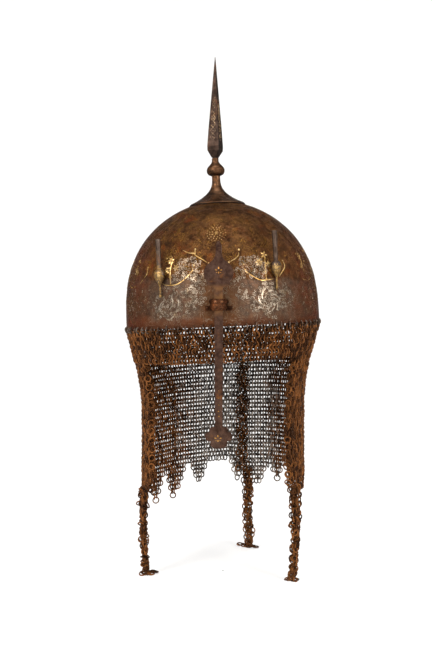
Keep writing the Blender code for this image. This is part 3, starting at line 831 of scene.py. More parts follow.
@dataclass
class BowlOrnament:
    """Gold and silver inlay of the bowl, in four panels round it.

    Attributes:
        form: the bowl's outline.
        panels: how many times the front panel repeats.
    """

    form: BowlForm
    panels: int = 4

    GOLD_STEMS = (
        # low arcs, high arcs, sprigs beside the plume holders: (width in mm, (azimuth, height in mm), ...)
        (1.3, (-33.5, 44.6), (-31.5, 43.0), (-28.0, 42.4), (-23.6, 43.1), (-19.4, 47.2), (-16.0, 52.4),
         (-14.0, 56.7)),
        (1.2, (-22.0, 76.3), (-17.8, 73.2), (-13.9, 72.3), (-13.1, 70.2), (-8.7, 65.8), (-6.0, 62.6)),
        (0.9, (-13.3, 71.6), (-13.6, 74.0), (-13.6, 75.9)),
        (1.0, (-32.2, 68.7), (-29.6, 71.4), (-28.2, 66.0), (-28.8, 60.0), (-28.6, 52.0), (-27.9, 44.1)),
        (1.3, (15.4, 55.6), (16.2, 52.4), (18.0, 49.7), (21.6, 45.6), (24.8, 43.1), (28.5, 43.3),
         (32.5, 43.9)),
        (1.2, (7.8, 62.6), (9.2, 63.8), (11.0, 65.4), (12.9, 68.4), (13.4, 71.2)),
        (0.9, (29.0, 70.4), (29.2, 63.0), (28.3, 53.7), (28.1, 44.6)),
        (1.0, (42.4, 61.2), (42.9, 56.8), (41.4, 53.2), (39.3, 50.0), (36.8, 46.0)),
    )
    GOLD_FLOWERS = (
        # (azimuth, height, petals, petal length, petal width, turn)
        (-29.2, 66.5, 7, 4.6, 2.1, 0.4), (-25.0, 59.5, 6, 4.2, 1.9, 0.2), (-30.8, 57.5, 6, 3.8, 1.8, 0.9),
        (25.2, 60.6, 7, 5.0, 2.2, 0.3), (29.4, 68.0, 5, 5.0, 2.0, 1.2), (31.0, 58.5, 6, 4.0, 1.9, 0.5),
        (-28.4, 50.5, 4, 2.6, 1.4, 0.0), (28.0, 51.6, 4, 2.8, 1.5, 0.3),
    )
    GOLD_DOTS = (
        (-13.8, 60.6, 1.4), (-4.9, 61.6, 1.1), (-13.6, 76.6, 1.0), (15.3, 59.2, 1.4), (13.7, 74.1, 1.3),
        (6.8, 61.9, 1.0), (-27.9, 44.1, 1.0), (28.1, 44.4, 1.2), (-32.5, 69.2, 1.0), (42.3, 62.0, 0.9),
    )
    SILVER_STEMS = (
        (1.6, (-26.4, 34.5), (-26.9, 30.5), (-26.3, 26.5), (-27.0, 22.0), (-28.6, 18.5)),
        (1.7, (-22.6, 27.6), (-22.8, 23.6), (-23.3, 20.0), (-25.1, 14.3), (-27.8, 9.6), (-30.2, 9.4),
         (-31.4, 12.0)),
        (0.9, (41.0, 20.4), (42.4, 19.4), (43.4, 17.0)),
        (0.9, (-34.0, 26.0), (-35.2, 21.0), (-34.0, 16.0), (-32.0, 14.0)),
    )
    # The bowl's radius and the millimetres to a degree at mid height
    MID_RADIUS = 0.95
    PER_DEGREE = 1.70
    # (azimuth, height, radius) and (azimuth, height)
    MEDALLION = (28.5, 23.1, 12.0)
    ROSETTE = (0.1, 91.8)
    # Ovals that hold the dense silver vine: (azimuth, height, half width, half height, lean, how full)
    SILVER_AREAS = (
        (-18.5, 57.5, 8.5, 12.5, 0.35, 1.0), (-10.5, 48.0, 6.0, 8.5, 0.0, 0.85),
        (21.0, 56.5, 9.0, 12.0, -0.25, 1.0), (11.5, 49.5, 5.5, 6.5, 0.0, 0.7),
        (-26.0, 25.0, 14.0, 18.0, 0.0, 0.55), (-13.0, 31.0, 7.0, 11.0, 0.0, 0.7),
        (28.5, 23.1, 12.0, 17.0, 0.0, 0.72), (13.5, 33.0, 5.5, 9.5, 0.0, 0.5),
        (42.0, 26.0, 5.5, 15.0, 0.0, 0.45),
    )

    def inlayer(self) -> Inlayer:
        """Azimuths are stretched where the bowl narrows, so sizes hold at mid height."""
        return Inlayer(lambda azimuth, height, out: self.form.place(azimuth, height * MM, out),
                       (math.radians(1.0) * self.form.radius * self.MID_RADIUS, MM))

    def panel(self, turn: float, gold: Inlayer, silver: Inlayer, rng: random.Random) -> None:
        """One panel of the pattern.

        Args:
            turn: degrees that it is turned about the bowl.
            gold: lays the gold.
            silver: lays the silver.
            rng: gives the vine its irregularity.
        """
        for width, *points in self.GOLD_STEMS:
            gold.ribbon([(azimuth + turn, height) for azimuth, height in points], width * MM)
        for azimuth, height, petals, length, width, lean in self.GOLD_FLOWERS:
            gold.flower((azimuth + turn, height), petals, length * MM, width * MM, lean)
        for azimuth, height, radius in self.GOLD_DOTS:
            gold.dot((azimuth + turn, height), radius * MM)
        for width, *points in self.SILVER_STEMS:
            silver.ribbon([(azimuth + turn, height) for azimuth, height in points], width * MM)
        for area in self.SILVER_AREAS:
            self.vine(turn, area, silver, rng)
        self.medallion(turn, silver)
        self.rosette(turn, gold)

    def vine(self, turn: float, area: tuple[float, ...], silver: Inlayer, rng: random.Random) -> None:
        """Curled stems on a staggered grid, close enough to run into each other.

        Args:
            turn: degrees that the panel is turned about the bowl.
            area: a row of SILVER_AREAS.
            silver: lays the silver.
            rng: gives the stems their irregularity.
        """
        azimuth, height, half_width, half_height, lean, full = area
        pitch = 3.7
        rows = int(half_height / (pitch * 0.86))
        columns = int(half_width * self.PER_DEGREE / pitch)
        for row in range(-rows, rows + 1):
            for column in range(-columns, columns + 1):
                chance, spin, size = rng.random(), rng.uniform(0, 2 * math.pi), rng.uniform(0.78, 1.2)
                up = row * pitch * 0.86 + rng.uniform(-0.5, 0.5)
                across = (column + 0.5 * (row % 2)) * pitch + rng.uniform(-0.5, 0.5)
                inside = (across / (half_width * self.PER_DEGREE)) ** 2 + (up / half_height) ** 2
                if chance > full or inside > 1.0:
                    continue
                spot = (azimuth + (across + lean * up) / self.PER_DEGREE + turn, height + up)
                hand = 1 if (row + column) % 2 else -1
                silver.scroll(spot, 2.0 * MM * size, 1.1, 0.64 * MM, spin, hand, 2)

    def medallion(self, turn: float, silver: Inlayer) -> None:
        """A round swirl of curved stems with curls between them.

        Args:
            turn: degrees that the panel is turned about the bowl.
            silver: lays the silver.
        """
        azimuth, height, radius = self.MEDALLION
        per_degree = math.degrees(1 / (self.form.radius / MM * self.MID_RADIUS))
        for arm in range(7):
            start = 2 * math.pi * arm / 7
            points = []
            for i in range(6):
                angle = start + 0.34 * i
                reach = radius * (1 - 0.13 * i)
                points.append((azimuth + turn + reach * math.cos(angle) * per_degree,
                               height + reach * math.sin(angle)))
            silver.ribbon(points, 1.5 * MM)
            inner = points[-1]
            silver.scroll(inner, 2.6 * MM, 1.0, 0.7 * MM, start, 1, 2)

    def rosette(self, turn: float, gold: Inlayer) -> None:
        """Rays of small petals and dots round a middle."""
        azimuth, height = self.ROSETTE
        centre = (azimuth + turn, height)
        narrow = self.form.radius * self.MID_RADIUS / self.form.radius_at(height * MM)
        gold.flower(centre, 6, 2.4 * MM, 1.1 * MM)
        for ring, (reach, count, length) in enumerate(((3.6, 9, 1.8), (6.0, 14, 1.7), (8.6, 18, 1.4))):
            for i in range(count):
                angle = 2 * math.pi * (i + 0.5 * ring) / count
                across = reach * MM * math.cos(angle) * narrow / (self.form.radius * self.MID_RADIUS)
                foot = (centre[0] + math.degrees(across), centre[1] + reach * math.sin(angle) * 0.86)
                gold.leaf(foot, angle, length * MM, 1.15 * MM)

    def build(self, gold_metal: Material, silver_metal: Material) -> None:
        """Lay all the panels as one gold and one silver piece."""
        gold, silver = self.inlayer(), self.inlayer()
        for panel in range(self.panels):
            rng = random.Random(SEED)
            self.panel(360.0 / self.panels * panel, gold, silver, rng)
        for inlay, metal, kind in ((gold, gold_metal, "gold"), (silver, silver_metal, "silver")):
            piece = inlay.maker.make(f"bowl_inlay_{kind}", metal, smooth=False)
            settle(piece, Body.HELMET)


def front_of(name: str, middle: float, height: float) -> Place:
    """Places on the front of a CAD node, for millimetres across and up from a spot on it.

    Args:
        name: the CAD node.
        middle: x of the spot.
        height: z of the spot.

    Returns:
        A function that gives the place for across, up and a distance out.
    """
    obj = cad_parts[name]
    inverse = obj.matrix_world.inverted()

    before = -200 * MM
    straight = (inverse.to_3x3() @ Vector((0.0, 1.0, 0.0))).normalized()

    def place(across: float, up: float, out: float) -> Vector:
        """Where a straight line from before the node meets its front."""
        start = Vector((middle + across * MM, before, height + up * MM))
        hit, spot, normal, _ = obj.ray_cast(inverse @ start, straight)
        if not hit:
            low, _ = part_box(name)
            return Vector((start.x, low.y + 2 * MM, start.z))
        facing = (obj.matrix_world.to_3x3() @ normal).normalized()
        return obj.matrix_world @ spot + facing * out
    return place


@dataclass
class HolderOrnament:
    """A raised gilt flower with a leaf below it on the boss of each plume holder.

    Attributes:
        names: the CAD nodes.
        boss_up: the flower's middle, as a share of the holder's height from its foot.
        reach: length of a petal in metres.
    """

    names: tuple[str, ...] = ("plume_holder_left", "plume_holder_right")
    boss_up: float = 0.375
    reach: float = 2.3 * MM

    def build(self, metal: Material) -> None:
        """Lay the flowers on the bosses as one piece."""
        maker = MeshMaker()
        for name in self.names:
            low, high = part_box(name)
            lean = -0.6 * MM if low.x < 0 else 0.0
            place = front_of(name, (low.x + high.x) / 2 + lean, low.z + (high.z - low.z) * self.boss_up)
            inlay = Inlayer(place, (MM, MM))
            inlay.flower((0.0, 0.0), 6, self.reach, 1.3 * MM, 0.3)
            for hand in (-1, 1):
                inlay.leaf((hand * 0.6, -2.6), -math.pi / 2 + hand * 0.5, 2.4 * MM, 1.1 * MM)
                inlay.leaf((hand * 0.8, 2.2), math.pi / 2 - hand * 0.7, 1.9 * MM, 1.0 * MM)
            inlay.dot((0.0, -6.2), 0.7 * MM)
            maker.add(inlay.maker.points, inlay.maker.faces)
        settle(maker.make("holder_inlay_gold", metal, smooth=False), Body.HELMET)


@dataclass
class BracketKnobs:
    """Four domed rivet heads on the two ridges of the nasal's bracket.

    Attributes:
        middle: x of the bracket.
        height: z of its middle.
        aside: from the middle to a knob, across.
        apart: from the middle to a knob, up or down.
        radius: of a knob.
        flat: a knob's height as a share of its radius.
        seat: how deep a knob sits in the bracket.
    """

    middle: float = -1.0 * MM
    height: float = 21.3 * MM
    aside: float = 3.0 * MM
    apart: float = 2.9 * MM
    radius: float = 1.55 * MM
    flat: float = 0.95
    seat: float = 0.25 * MM

    def build(self, metal: Material) -> None:
        """Domes in rings, seated a little below the bracket's front."""
        rings, steps = 5, 16
        maker = MeshMaker()
        place = front_of("nasal_bracket", self.middle, self.height)
        for across in (-self.aside, self.aside):
            for up in (-self.apart, self.apart):
                centre = place(across / MM, up / MM, -self.seat)
                points = [centre + Vector((0.0, -self.radius * self.flat, 0.0))]
                for ring in range(1, rings + 1):
                    lie = math.pi / 2 * ring / rings
                    for step in range(steps):
                        turn = 2 * math.pi * step / steps
                        out = Vector((math.sin(lie) * math.cos(turn), -self.flat * math.cos(lie),
                                      math.sin(lie) * math.sin(turn)))
                        points.append(centre + out * self.radius)
                faces = [(0, 1 + (step + 1) % steps, 1 + step) for step in range(steps)]
                for first in range(1, 1 + (rings - 1) * steps, steps):
                    for step in range(steps):
                        here, ahead = first + step, first + (step + 1) % steps
                        faces.append((here, ahead, ahead + steps, here + steps))
                maker.add(points, faces)
        settle(maker.make("bracket_knobs", metal), Body.HELMET)


@dataclass
class PlateShadowLine:
    """A dark line of painted shadow under the edge of the spike's plate.

    Attributes:
        form: the bowl's outline.
        radius: of the plate.
        wire: half the width of the line.
        out: from the plate's edge to the line's middle, outwards.
        up: from the bowl to the line's middle.
    """

    form: BowlForm
    radius: float = 28.9 * MM
    wire: float = 0.55 * MM
    out: float = 0.25 * MM
    up: float = 0.7 * MM

    def build(self, painted_shade: Material) -> None:
        """A thin ring on the bowl, close under the plate."""
        form, steps, sides = self.form, 96, 6
        reach = self.radius + self.out
        height = form.height * (1 - (reach / form.radius) ** form.crown) ** (1 / form.shoulder) + self.up
        lies = [-2 * math.pi * k / sides for k in range(sides)]
        maker = MeshMaker()
        maker.lattice([[form.tilted(around(2 * math.pi * step / steps, reach + self.wire * math.cos(lie),
                                           height + self.wire * math.sin(lie))) for lie in lies]
                       for step in range(steps)], ends_meet=True)
        settle(maker.make("plate_painted_shadow", painted_shade), Body.HELMET)


@dataclass
class SpikeOrnament:
    """Gilt scrolls down the faces of the spike.

    Attributes:
        length: of the blade.
        half_diagonal: at its widest.
        turn: of its edges about +Z.
        face_half: half of a face's mean width where the vine is.
        wave: from one flower of the vine to the next, as a share of the length.
        profile: shares of the length from the foot up, each with its share of the half diagonal.
    """

    length: float = 106.8 * MM
    half_diagonal: float = 9.2 * MM
    turn: float = math.radians(23.6)
    face_half: float = 5.2 * MM
    wave: float = 0.062
    profile: tuple[tuple[float, float], ...] = ((0.0, 0.43), (0.07, 0.97), (0.11, 1.0), (0.27, 0.86),
                                                (1.0, 0.05))

    def face(self, foot: Vector, side: int) -> Place:
        """Places on one face: across from -1 to 1, up as a share of the length."""
        def place(across: float, up: float, out: float) -> Vector:
            """Between the face's two edges, as they narrow."""
            half = self.half_diagonal * interpolate(self.profile, up)
            corners = [self.turn + math.pi / 2 * k for k in (side, side + 1)]
            ends = [Vector((math.cos(a), math.sin(a), 0.0)) for a in corners]
            share = (across + 1) / 2
            spot = (ends[0] * (1 - share) + ends[1] * share) * half
            outward = (ends[0] + ends[1]).normalized()
            return foot + spot + outward * out + Vector((0.0, 0.0, self.length * up))
        return place

    def build(self, metal: Material) -> None:
        """The same vine on all four faces: two stems that cross, with leaves and dots."""
        low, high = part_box("spike")
        foot = Vector(((low.x + high.x) / 2, (low.y + high.y) / 2, low.z))
        maker = MeshMaker()
        for side in range(4):
            inlay = Inlayer(self.face(foot, side), (self.face_half, self.length))
            for hand in (-1, 1):
                stem = [(hand * 0.46 * math.sin(i * math.pi / 2), 0.17 + self.wave / 2 * i)
                        for i in range(14)]
                inlay.ribbon(stem, 0.5 * MM, parts=3)
            for i in range(7):
                up = 0.20 + self.wave * i
                inlay.flower((0.0, up), 4, 1.3 * MM, 0.7 * MM, math.pi / 4)
                for hand in (-1, 1):
                    inlay.leaf((hand * 0.45, up + 0.012), math.pi / 2 + hand * 0.5, 1.8 * MM, 0.8 * MM)
            maker.add(inlay.maker.points, inlay.maker.faces)
        settle(maker.make("spike_inlay_gold", metal, smooth=False), Body.HELMET)


@dataclass
class NasalOrnament:
    """Gilt four-petalled flowers on the palmette and the finial, and dots down the bar.

    Attributes:
        middle: x of the bar.
        front: y of its front face.
        proud: how far the gold stands out, less than the bracket's clearance.
    """

    middle: float = -1.0 * MM
    front: float = -110.2 * MM
    proud: float = 0.13 * MM

    # Millimetres: flowers as (across, up, reach), and dots as (across, up, radius)
    FLOWERS = ((0.0, 53.8, 3.9), (-0.6, -106.3, 4.2))
    DOTS = ((0.0, -67.6, 0.9), (0.2, -74.3, 0.8), (-0.2, -80.3, 0.9), (0.3, -85.2, 0.8), (0.0, -60.5, 0.6))

    def build(self, metal: Material) -> None:
        """Lay the flowers on the flat front of the nasal."""
        def place(across: float, up: float, out: float) -> Vector:
            """On the flat front, for millimetres across and up."""
            return Vector((self.middle + across * MM, self.front - out, up * MM))

        inlay = Inlayer(place, (MM, MM), self.proud)
        for across, up, reach in self.FLOWERS:
            inlay.leaf((across, up + 0.5), math.pi / 2, reach * 0.95 * MM, 2.3 * MM)
            inlay.leaf((across, up - 0.5), -math.pi / 2, reach * 0.8 * MM, 2.0 * MM)
            for hand in (-1, 1):
                inlay.leaf((across + hand * 0.6, up), math.pi / 2 - hand * 1.35, reach * 0.95 * MM, 1.7 * MM)
                inlay.leaf((across + hand * 1.2, up - 1.1), -math.pi / 2 + hand * 0.7, 2.0 * MM, 1.0 * MM)
        for across, up, radius in self.DOTS:
            inlay.dot((across, up), radius * MM)
        settle(inlay.maker.make("nasal_inlay_gold", metal, smooth=False), Body.NASAL)


# Mail

@dataclass
class RingField:
    """Rings gathered for one piece of mail.

    Attributes:
        wire: radius of the wire.
        major: steps round a ring.
        minor: steps round the wire.
    """

    wire: float = 0.74 * MM
    major: int = 14
    minor: int = 5
    rows: list[tuple[np.ndarray, np.ndarray, np.ndarray, float, float, float]] = field(default_factory=list)

    def add(self, centre: Vector, along: Vector, down: Vector, radius: float, shade: float,
            bare: float) -> None:
        """Take in a ring that lies in the plane of two square directions."""
        self.rows.append((np.array(centre), np.array(along), np.array(down), radius, shade, bare))

    def build(self, name: str, material: Material, replaces: Sequence[str] = ()) -> None:
        """Make all the rings as one mesh, with each ring's shade and bareness on its points.

        Args:
            name: the piece's name.
            material: its finish.
            replaces: CAD nodes that it stands for.
        """
        count, major, minor = len(self.rows), self.major, self.minor
        centre = np.array([r[0] for r in self.rows])[:, None, None]
        along = np.array([r[1] for r in self.rows])[:, None, None]
        down = np.array([r[2] for r in self.rows])[:, None, None]
        radius = np.array([r[3] for r in self.rows])[:, None, None, None]
        normal = np.cross(along, down)
        turn = np.linspace(0, 2 * math.pi, major, endpoint=False)[None, :, None, None]
        round_wire = np.linspace(0, 2 * math.pi, minor, endpoint=False)[None, None, :, None]
        outward = along * np.cos(turn) + down * np.sin(turn)
        points = centre + outward * (radius + self.wire * np.cos(round_wire))
        points = points + normal * self.wire * np.sin(round_wire)
        a = np.arange(major)[:, None]
        b = np.arange(minor)[None, :]
        ahead, beside = (a + 1) % major * minor, (b + 1) % minor
        quad = np.stack([a * minor + b, ahead + b, ahead + beside, a * minor + beside], -1).reshape(-1, 4)
        quads = (np.arange(count)[:, None, None] * major * minor + quad[None]).reshape(-1, 4)
        mesh = bpy.data.meshes.new(name)
        mesh.vertices.add(count * major * minor)
        mesh.vertices.foreach_set("co", points.reshape(-1).astype(np.float32))
        mesh.loops.add(quads.size)
        mesh.loops.foreach_set("vertex_index", quads.reshape(-1).astype(np.int32))
        mesh.polygons.add(len(quads))
        mesh.polygons.foreach_set("loop_start", np.arange(0, quads.size, 4, dtype=np.int32))
        mesh.update(calc_edges=True)
        mesh.polygons.foreach_set("use_smooth", [True] * len(quads))
        for key, column in (("shade", 4), ("bare", 5)):
            values = np.repeat([r[column] for r in self.rows], major * minor).astype(np.float32)
            mesh.attributes.new(key, "FLOAT", "POINT").data.foreach_set("value", values)
        mesh.materials.append(material)
        obj = bpy.data.objects.new(name, mesh)
        bpy.context.scene.collection.objects.link(obj)
        settle(obj, Body.HELMET, replaces)


@dataclass
class MailForm:
    """How the mail hangs: the same tables and formulas as its CAD solid.

    Attributes:
        bowl: the bowl's outline.
        gap: between CAD pieces that touch.
        depth: from the rim to the tips of the dags.
        brow: depth of the band over the face.
        draw: how far it draws in from the rim to the neck.
        wall: thickness of the CAD solid.
        ground: floor's depth below the rim.
        foot: length of a long point that lies on the floor.
        crown: how far a strip's middle stands out.
        fold_reach: how far a fold presses in.
        inset: how much further in the rings' middles lie, because the rings lean out past the CAD wall.
    """

    bowl: BowlForm
    gap: float = 0.3 * MM
    depth: float = 185.0 * MM
    brow: float = 36.0 * MM
    draw: float = 15.1 * MM
    wall: float = 2.4 * MM
    ground: float = 264.0 * MM
    foot: float = 9.0 * MM
    crown: float = 1.2 * MM
    fold_reach: float = 5.5 * MM
    inset: float = 2.2 * MM

    # Down as a share of the depth, and how far it has drawn in, as a share of the draw
    DRAPE = ((0.0, 0.0), (0.03, 0.0), (0.07, 0.14), (0.135, 0.33), (0.205, 0.62), (0.34, 0.92), (0.45, 1.02),
             (0.65, 1.03), (1.1, 0.97))
    # The lower edge: degrees round from the front, and its depth as a share
    EDGE = ((58.0, 0.92), (82.0, 0.92), (88.0, 0.85), (97.0, 1.0), (106.0, 0.86), (115.0, 1.06),
            (126.0, 0.87), (137.0, 1.06), (150.0, 0.85), (160.0, 1.0), (167.0, 0.85), (180.0, 0.85),
            (183.0, 0.82), (191.0, 1.0), (194.0, 0.92), (202.0, 0.92), (206.0, 1.02), (216.0, 0.88),
            (224.5, 0.98), (234.0, 0.85), (244.0, 0.98), (254.0, 0.85), (264.0, 0.98), (278.0, 0.85),
            (287.0, 0.92), (307.0, 0.92))
    # Azimuth, half width in degrees, how far in as a share of the reach, and where it starts as a share down
    FOLDS = ((-166.0, 9.0, -0.35, 0.25), (-190.0, 9.0, 1.0, 0.20), (-216.0, 14.0, -0.45, 0.30),
             (-250.0, 14.0, 0.40, 0.30), (-125.0, 15.0, 0.35, 0.30))

    @property
    def hem(self) -> float:
        """Radius at which the mail hangs from the rim."""
        return self.bowl.radius - self.bowl.wall / 2

    @property
    def neck(self) -> float:
        """Radius of the mail round the neck."""
        return self.hem - self.draw

    def rim_drop(self, azimuth: float) -> float:
        """Height of the tilted rim at an azimuth in degrees."""
        return self.hem * math.sin(math.radians(azimuth)) * math.sin(self.bowl.tilt)

    def press(self, azimuth: float, down: float) -> float:
        """How far the folds press the mail in."""
        total = 0.0
        for middle, half_width, press, start in self.FOLDS:
            off = (azimuth - middle) / half_width
            if abs(off) < 1.0 and down > start:
                total += press * min(1.0, (down - start) / start) * (1 + math.cos(math.pi * off)) / 2
        return total * self.fold_reach

    def place(self, azimuth: float, depth: float) -> Vector:
        """Middle of the mail at an azimuth from 0 down to -360 and a depth below the rim."""
        down = depth / self.depth
        radius = self.hem - self.draw * interpolate(self.DRAPE, max(down, 0.0)) - self.press(azimuth, down)
        return around(math.radians(azimuth), radius - self.inset, self.rim_drop(azimuth) - self.gap - depth)

    def edge(self, azimuth: float) -> float:
        """Depth of the lower edge at an azimuth from 0 down to -360."""
        around = -azimuth
        if around < self.EDGE[0][0] or around > self.EDGE[-1][0]:
            return self.brow
        return self.depth * interpolate(self.EDGE, around)


@dataclass(frozen=True)
class LongPoint:
    """A strip of mail that runs down to the floor.

    Attributes:
        side: where it hangs, which is part of its name.
        root: azimuth of its top in degrees.
        foot: azimuth of its foot.
        root_half: half its width at the top, as a share of the neck's radius.
        tip_half: half its width at the foot.
        reach: how far out its foot lies, as a share of the neck's radius.
    """

    side: str
    root: float
    foot: float
    root_half: float
    tip_half: float
    reach: float


@dataclass
class Mail:
    """The aventail as linked rings, four through each one.

    Attributes:
        form: how the mail hangs.
        columns: rings once round.
        row_pitch: from one row to the next.
        radius: mean radius of a ring.
        tilt: how far rows lean to either side, in degrees.
    """

    form: MailForm
    columns: int = 156
    row_pitch: float = 4.57 * MM
    radius: float = 3.22 * MM
    tilt: float = 42.0

    # How unruly the rings hang, and how many degrees less they lean: in the curtain, in the brow band, and
    # along the edges of the face, which lie at two azimuths
    CURTAIN_HANG = (1.0, 0.0)
    BROW_HANG = (1.6, 2.0)
    FACE_HANG = (3.0, -18.0)
    FACE_EDGES = (-63.5, -301.5)
    POINTS = (
        LongPoint("left", -72.0, -77.0, 0.140, 0.030, 0.93),
        LongPoint("right", -300.0, -295.5, 0.120, 0.030, 0.92),
        LongPoint("rear", -198.0, -196.0, 0.060, 0.035, 1.17),
    )
    # The fold's middle and half width in degrees
    FOLD = (-195.5, 5.2)
    # Where a long point thins to a chain of single links, as a share of its fall
    CHAIN_FROM = 0.86
    # Rings heaped on the floor: across from and to, outward from and to, in mm, and how many
    HEAPS = {
        "left": (-2.0, 2.0, -8.0, 7.0, 9),
        "right": (-2.0, 2.0, -4.5, 4.0, 6),
        "rear": (-9.0, 13.0, -1.0, 2.5, 11),
    }
    # Pieces from and to these azimuths; the brow band spans the front
    PIECES = (
        (-307.5, -417.5, "mail_brow_rings"),
        (-57.5, -141.0, "mail_left_rings"),
        (-141.0, -224.0, "mail_rear_rings"),
        (-224.0, -307.5, "mail_right_rings"),
    )

    def piece_at(self, azimuth: float) -> str:
        """Name of the piece that a ring at this azimuth belongs to."""
        first = self.PIECES[1][0]
        turned = azimuth if azimuth < first else azimuth - 360.0
        return next(name for start, end, name in self.PIECES if start >= turned > end)

    def bareness(self, azimuth: float, depth: float) -> float:
        """Rubbed grey at the back, rusty at the sides and in the brow band."""
        back = 1 - abs(azimuth + 185.0) / 75.0
        return min(max(back, 0.0), 1.0) * min(max((depth / MM - 20) / 30, 0.0), 1.0)

    def ring(self, field_of: RingField, at: Callable[[float, float], Vector], u: float, v: float, row: int,
             bare: float, rng: random.Random, loose: float = 1.0, flatter: float = 0.0) -> None:
        """Add one ring of the fabric.

        Args:
            field_of: takes the ring.
            at: gives a place for the two coordinates of the fabric.
            u: coordinate across.
            v: depth in metres.
            row: its row's number, which sets the way it leans.
            bare: how rubbed it is.
            rng: gives its irregularity.
            loose: how irregular it is.
            flatter: degrees that it leans less than the others.
        """
        step = 0.4 * MM
        here = at(u, v)
        down = (at(u, v + step) - at(u, v - step)).normalized()
        across = at(u + 0.3, v) - at(u - 0.3, v)
        across = (across - down * across.dot(down)).normalized()
        tilt = self.tilt - flatter
        lean = math.radians((tilt if row % 2 else -tilt) + rng.gauss(0, 4.5) * loose)
        roll = rng.gauss(0, 0.07) * loose
        along = Matrix.Rotation(lean, 3, down) @ across
        plane_down = Matrix.Rotation(roll, 3, along) @ down
        off = Vector((rng.gauss(0, 0.16), rng.gauss(0, 0.16), rng.gauss(0, 0.16))) * MM * loose
        radius = self.radius * rng.uniform(0.965, 1.035)
        field_of.add(here + off, along, plane_down, radius, rng.random(), bare)

    def grid(self, fields: dict[str, RingField], rng: random.Random) -> None:
        """Rings of the brow band and the curtain, row by row from the rim.

        Args:
            fields: the mail's pieces by name.
            rng: gives the rings their irregularity.
        """
        pitch = 360.0 / self.columns
        for column in range(2 * self.columns):
            azimuth = -pitch * column / 2
            at_face = azimuth > self.FACE_EDGES[0] or azimuth < self.FACE_EDGES[1]
            rows = int((self.form.edge(azimuth) - 0.4 * self.radius) / self.row_pitch)
            for row in range(rows):
                if (row + column) % 2 == 0:
                    continue
                depth = (row + 0.9) * self.row_pitch
                brow = depth < self.form.brow + 4 * MM
                hang = self.BROW_HANG if brow else self.FACE_HANG if at_face else self.CURTAIN_HANG
                self.ring(fields[self.piece_at(azimuth)], self.form.place, azimuth, depth, row,
                          self.bareness(azimuth, depth), rng, *hang)

    def fold(self, fields: dict[str, RingField], rng: random.Random) -> None:
        """A second, rusty layer of rings, bunched in the fold above the rear point.

        Args:
            fields: the mail's pieces by name.
            rng: gives the rings their irregularity.
        """
        pitch = 360.0 / self.columns
        middle, half_width = self.FOLD

        def inner(azimuth: float, down: float) -> Vector:
            """Behind the curtain, furthest in at the fold's middle."""
            spot = self.form.place(azimuth, down)
            inward = Vector((-spot.x, -spot.y, 0.0)).normalized()
            return spot + inward * (3.0 + 1.6 * math.cos(math.pi / 2 * (azimuth - middle) / half_width)) * MM

        for row in range(10, int(0.93 * self.form.depth / self.row_pitch)):
            depth = (row + 0.4) * self.row_pitch
            for column in range(-6, 7):
                off = column * pitch / 2
                if (row + column) % 2 == 0 or abs(off) > half_width * (0.35 + 0.65 * rng.random()):
                    continue
                self.ring(fields["mail_rear_rings"], inner, middle + off, depth, row, 0.35, rng, 2.6)

    def hem(self, fields: dict[str, RingField], rng: random.Random) -> None:
        """Rings through small holes in the bowl's rim, square to its wall, that carry the first row.

        Args:
            fields: the mail's pieces by name.
            rng: gives the rings their irregularity.
        """
        count = self.columns // 2
        for i in range(count):
            azimuth = -360.0 * i / count
            angle = math.radians(azimuth + rng.gauss(0, 0.5))
            outward = around(angle)
            across = Vector((math.cos(angle), math.sin(angle), 0.0))
            centre = outward * (self.form.hem + rng.gauss(-0.6, 0.3) * MM)
            centre.z = self.form.rim_drop(azimuth) + rng.gauss(-0.7, 0.3) * MM
            along = Matrix.Rotation(rng.gauss(0, 0.2), 3, "Z") @ outward
            down = Matrix.Rotation(rng.gauss(0.1, 0.12), 3, across) @ Vector((0.0, 0.0, -1.0))
            along = (along - down * along.dot(down)).normalized()
            rings = fields[self.piece_at(azimuth)]
            # Painted shade: the hem rings, close under the rim, take only the darker shades
            rings.add(centre, along, down, self.radius * 0.92, 0.35 * rng.random(), 0.55)

    def strand_place(self, point: LongPoint) -> Callable[[float, float], Vector]:
        """Places on a long point: degrees across at the neck, and depth below its root."""
        form = self.form
        top = form.place(point.root, form.edge(point.root)).z - form.gap
        ground = form.wall / 2 - form.ground
        fall = top - ground + form.foot

        def place(across: float, v: float) -> Vector:
            """Down the strip, and out over the floor once it is there."""
            along = v / fall
            share = min(max(along, 0.0), 1.0)
            height = top - v
            lying = max(0.0, ground - height)
            height = max(height, ground)
            reach = form.neck * (1 + (point.reach - 1) * share ** 2)
            half = point.root_half + (point.tip_half - point.root_half) * share ** 0.6
            crown = form.crown * math.sin(math.pi * share) if not lying else 0.0
            angle = math.radians(point.root + (point.foot - point.root) * share)
            outward, side = around(angle), around(angle + math.pi / 2)
            off = form.neck * math.radians(across)
            crown *= max(0.0, 1 - (off / (form.neck * half)) ** 2)
            spot = outward * (reach + crown + lying) + side * off
            return Vector((spot.x, spot.y, height))
        return place

    def heap(self, point: LongPoint, rings: RingField, rng: random.Random) -> None:
        """The last rings of a long point, slumped on the floor.

        Args:
            point: the long point.
            rings: takes the rings.
            rng: gives them their irregularity.
        """
        first, last, near, far, count = self.HEAPS[point.side]
        angle = math.radians(point.foot)
        outward, side = around(angle), around(angle + math.pi / 2)
        reach = self.form.neck * point.reach
        for i in range(count):
            share = (i + 0.5) / count
            spot = outward * (reach + (near + (far - near) * share) * MM + rng.gauss(0, 0.6) * MM)
            spot += side * ((first + (last - first) * share) * MM + rng.gauss(0, 0.8) * MM)
            spot.z = -self.form.ground + 0.9 * MM + rng.uniform(0.0, 2.2) * MM
            turn = Matrix.Rotation(rng.uniform(0, math.pi), 3, "Z")
            along = turn @ Vector((1.0, 0.0, 0.0))
            lean = Matrix.Rotation(rng.gauss(0, 0.35), 3, along)
            rings.add(spot, along, lean @ turn @ Vector((0.0, 1.0, 0.0)), self.radius, rng.random(), 0.1)

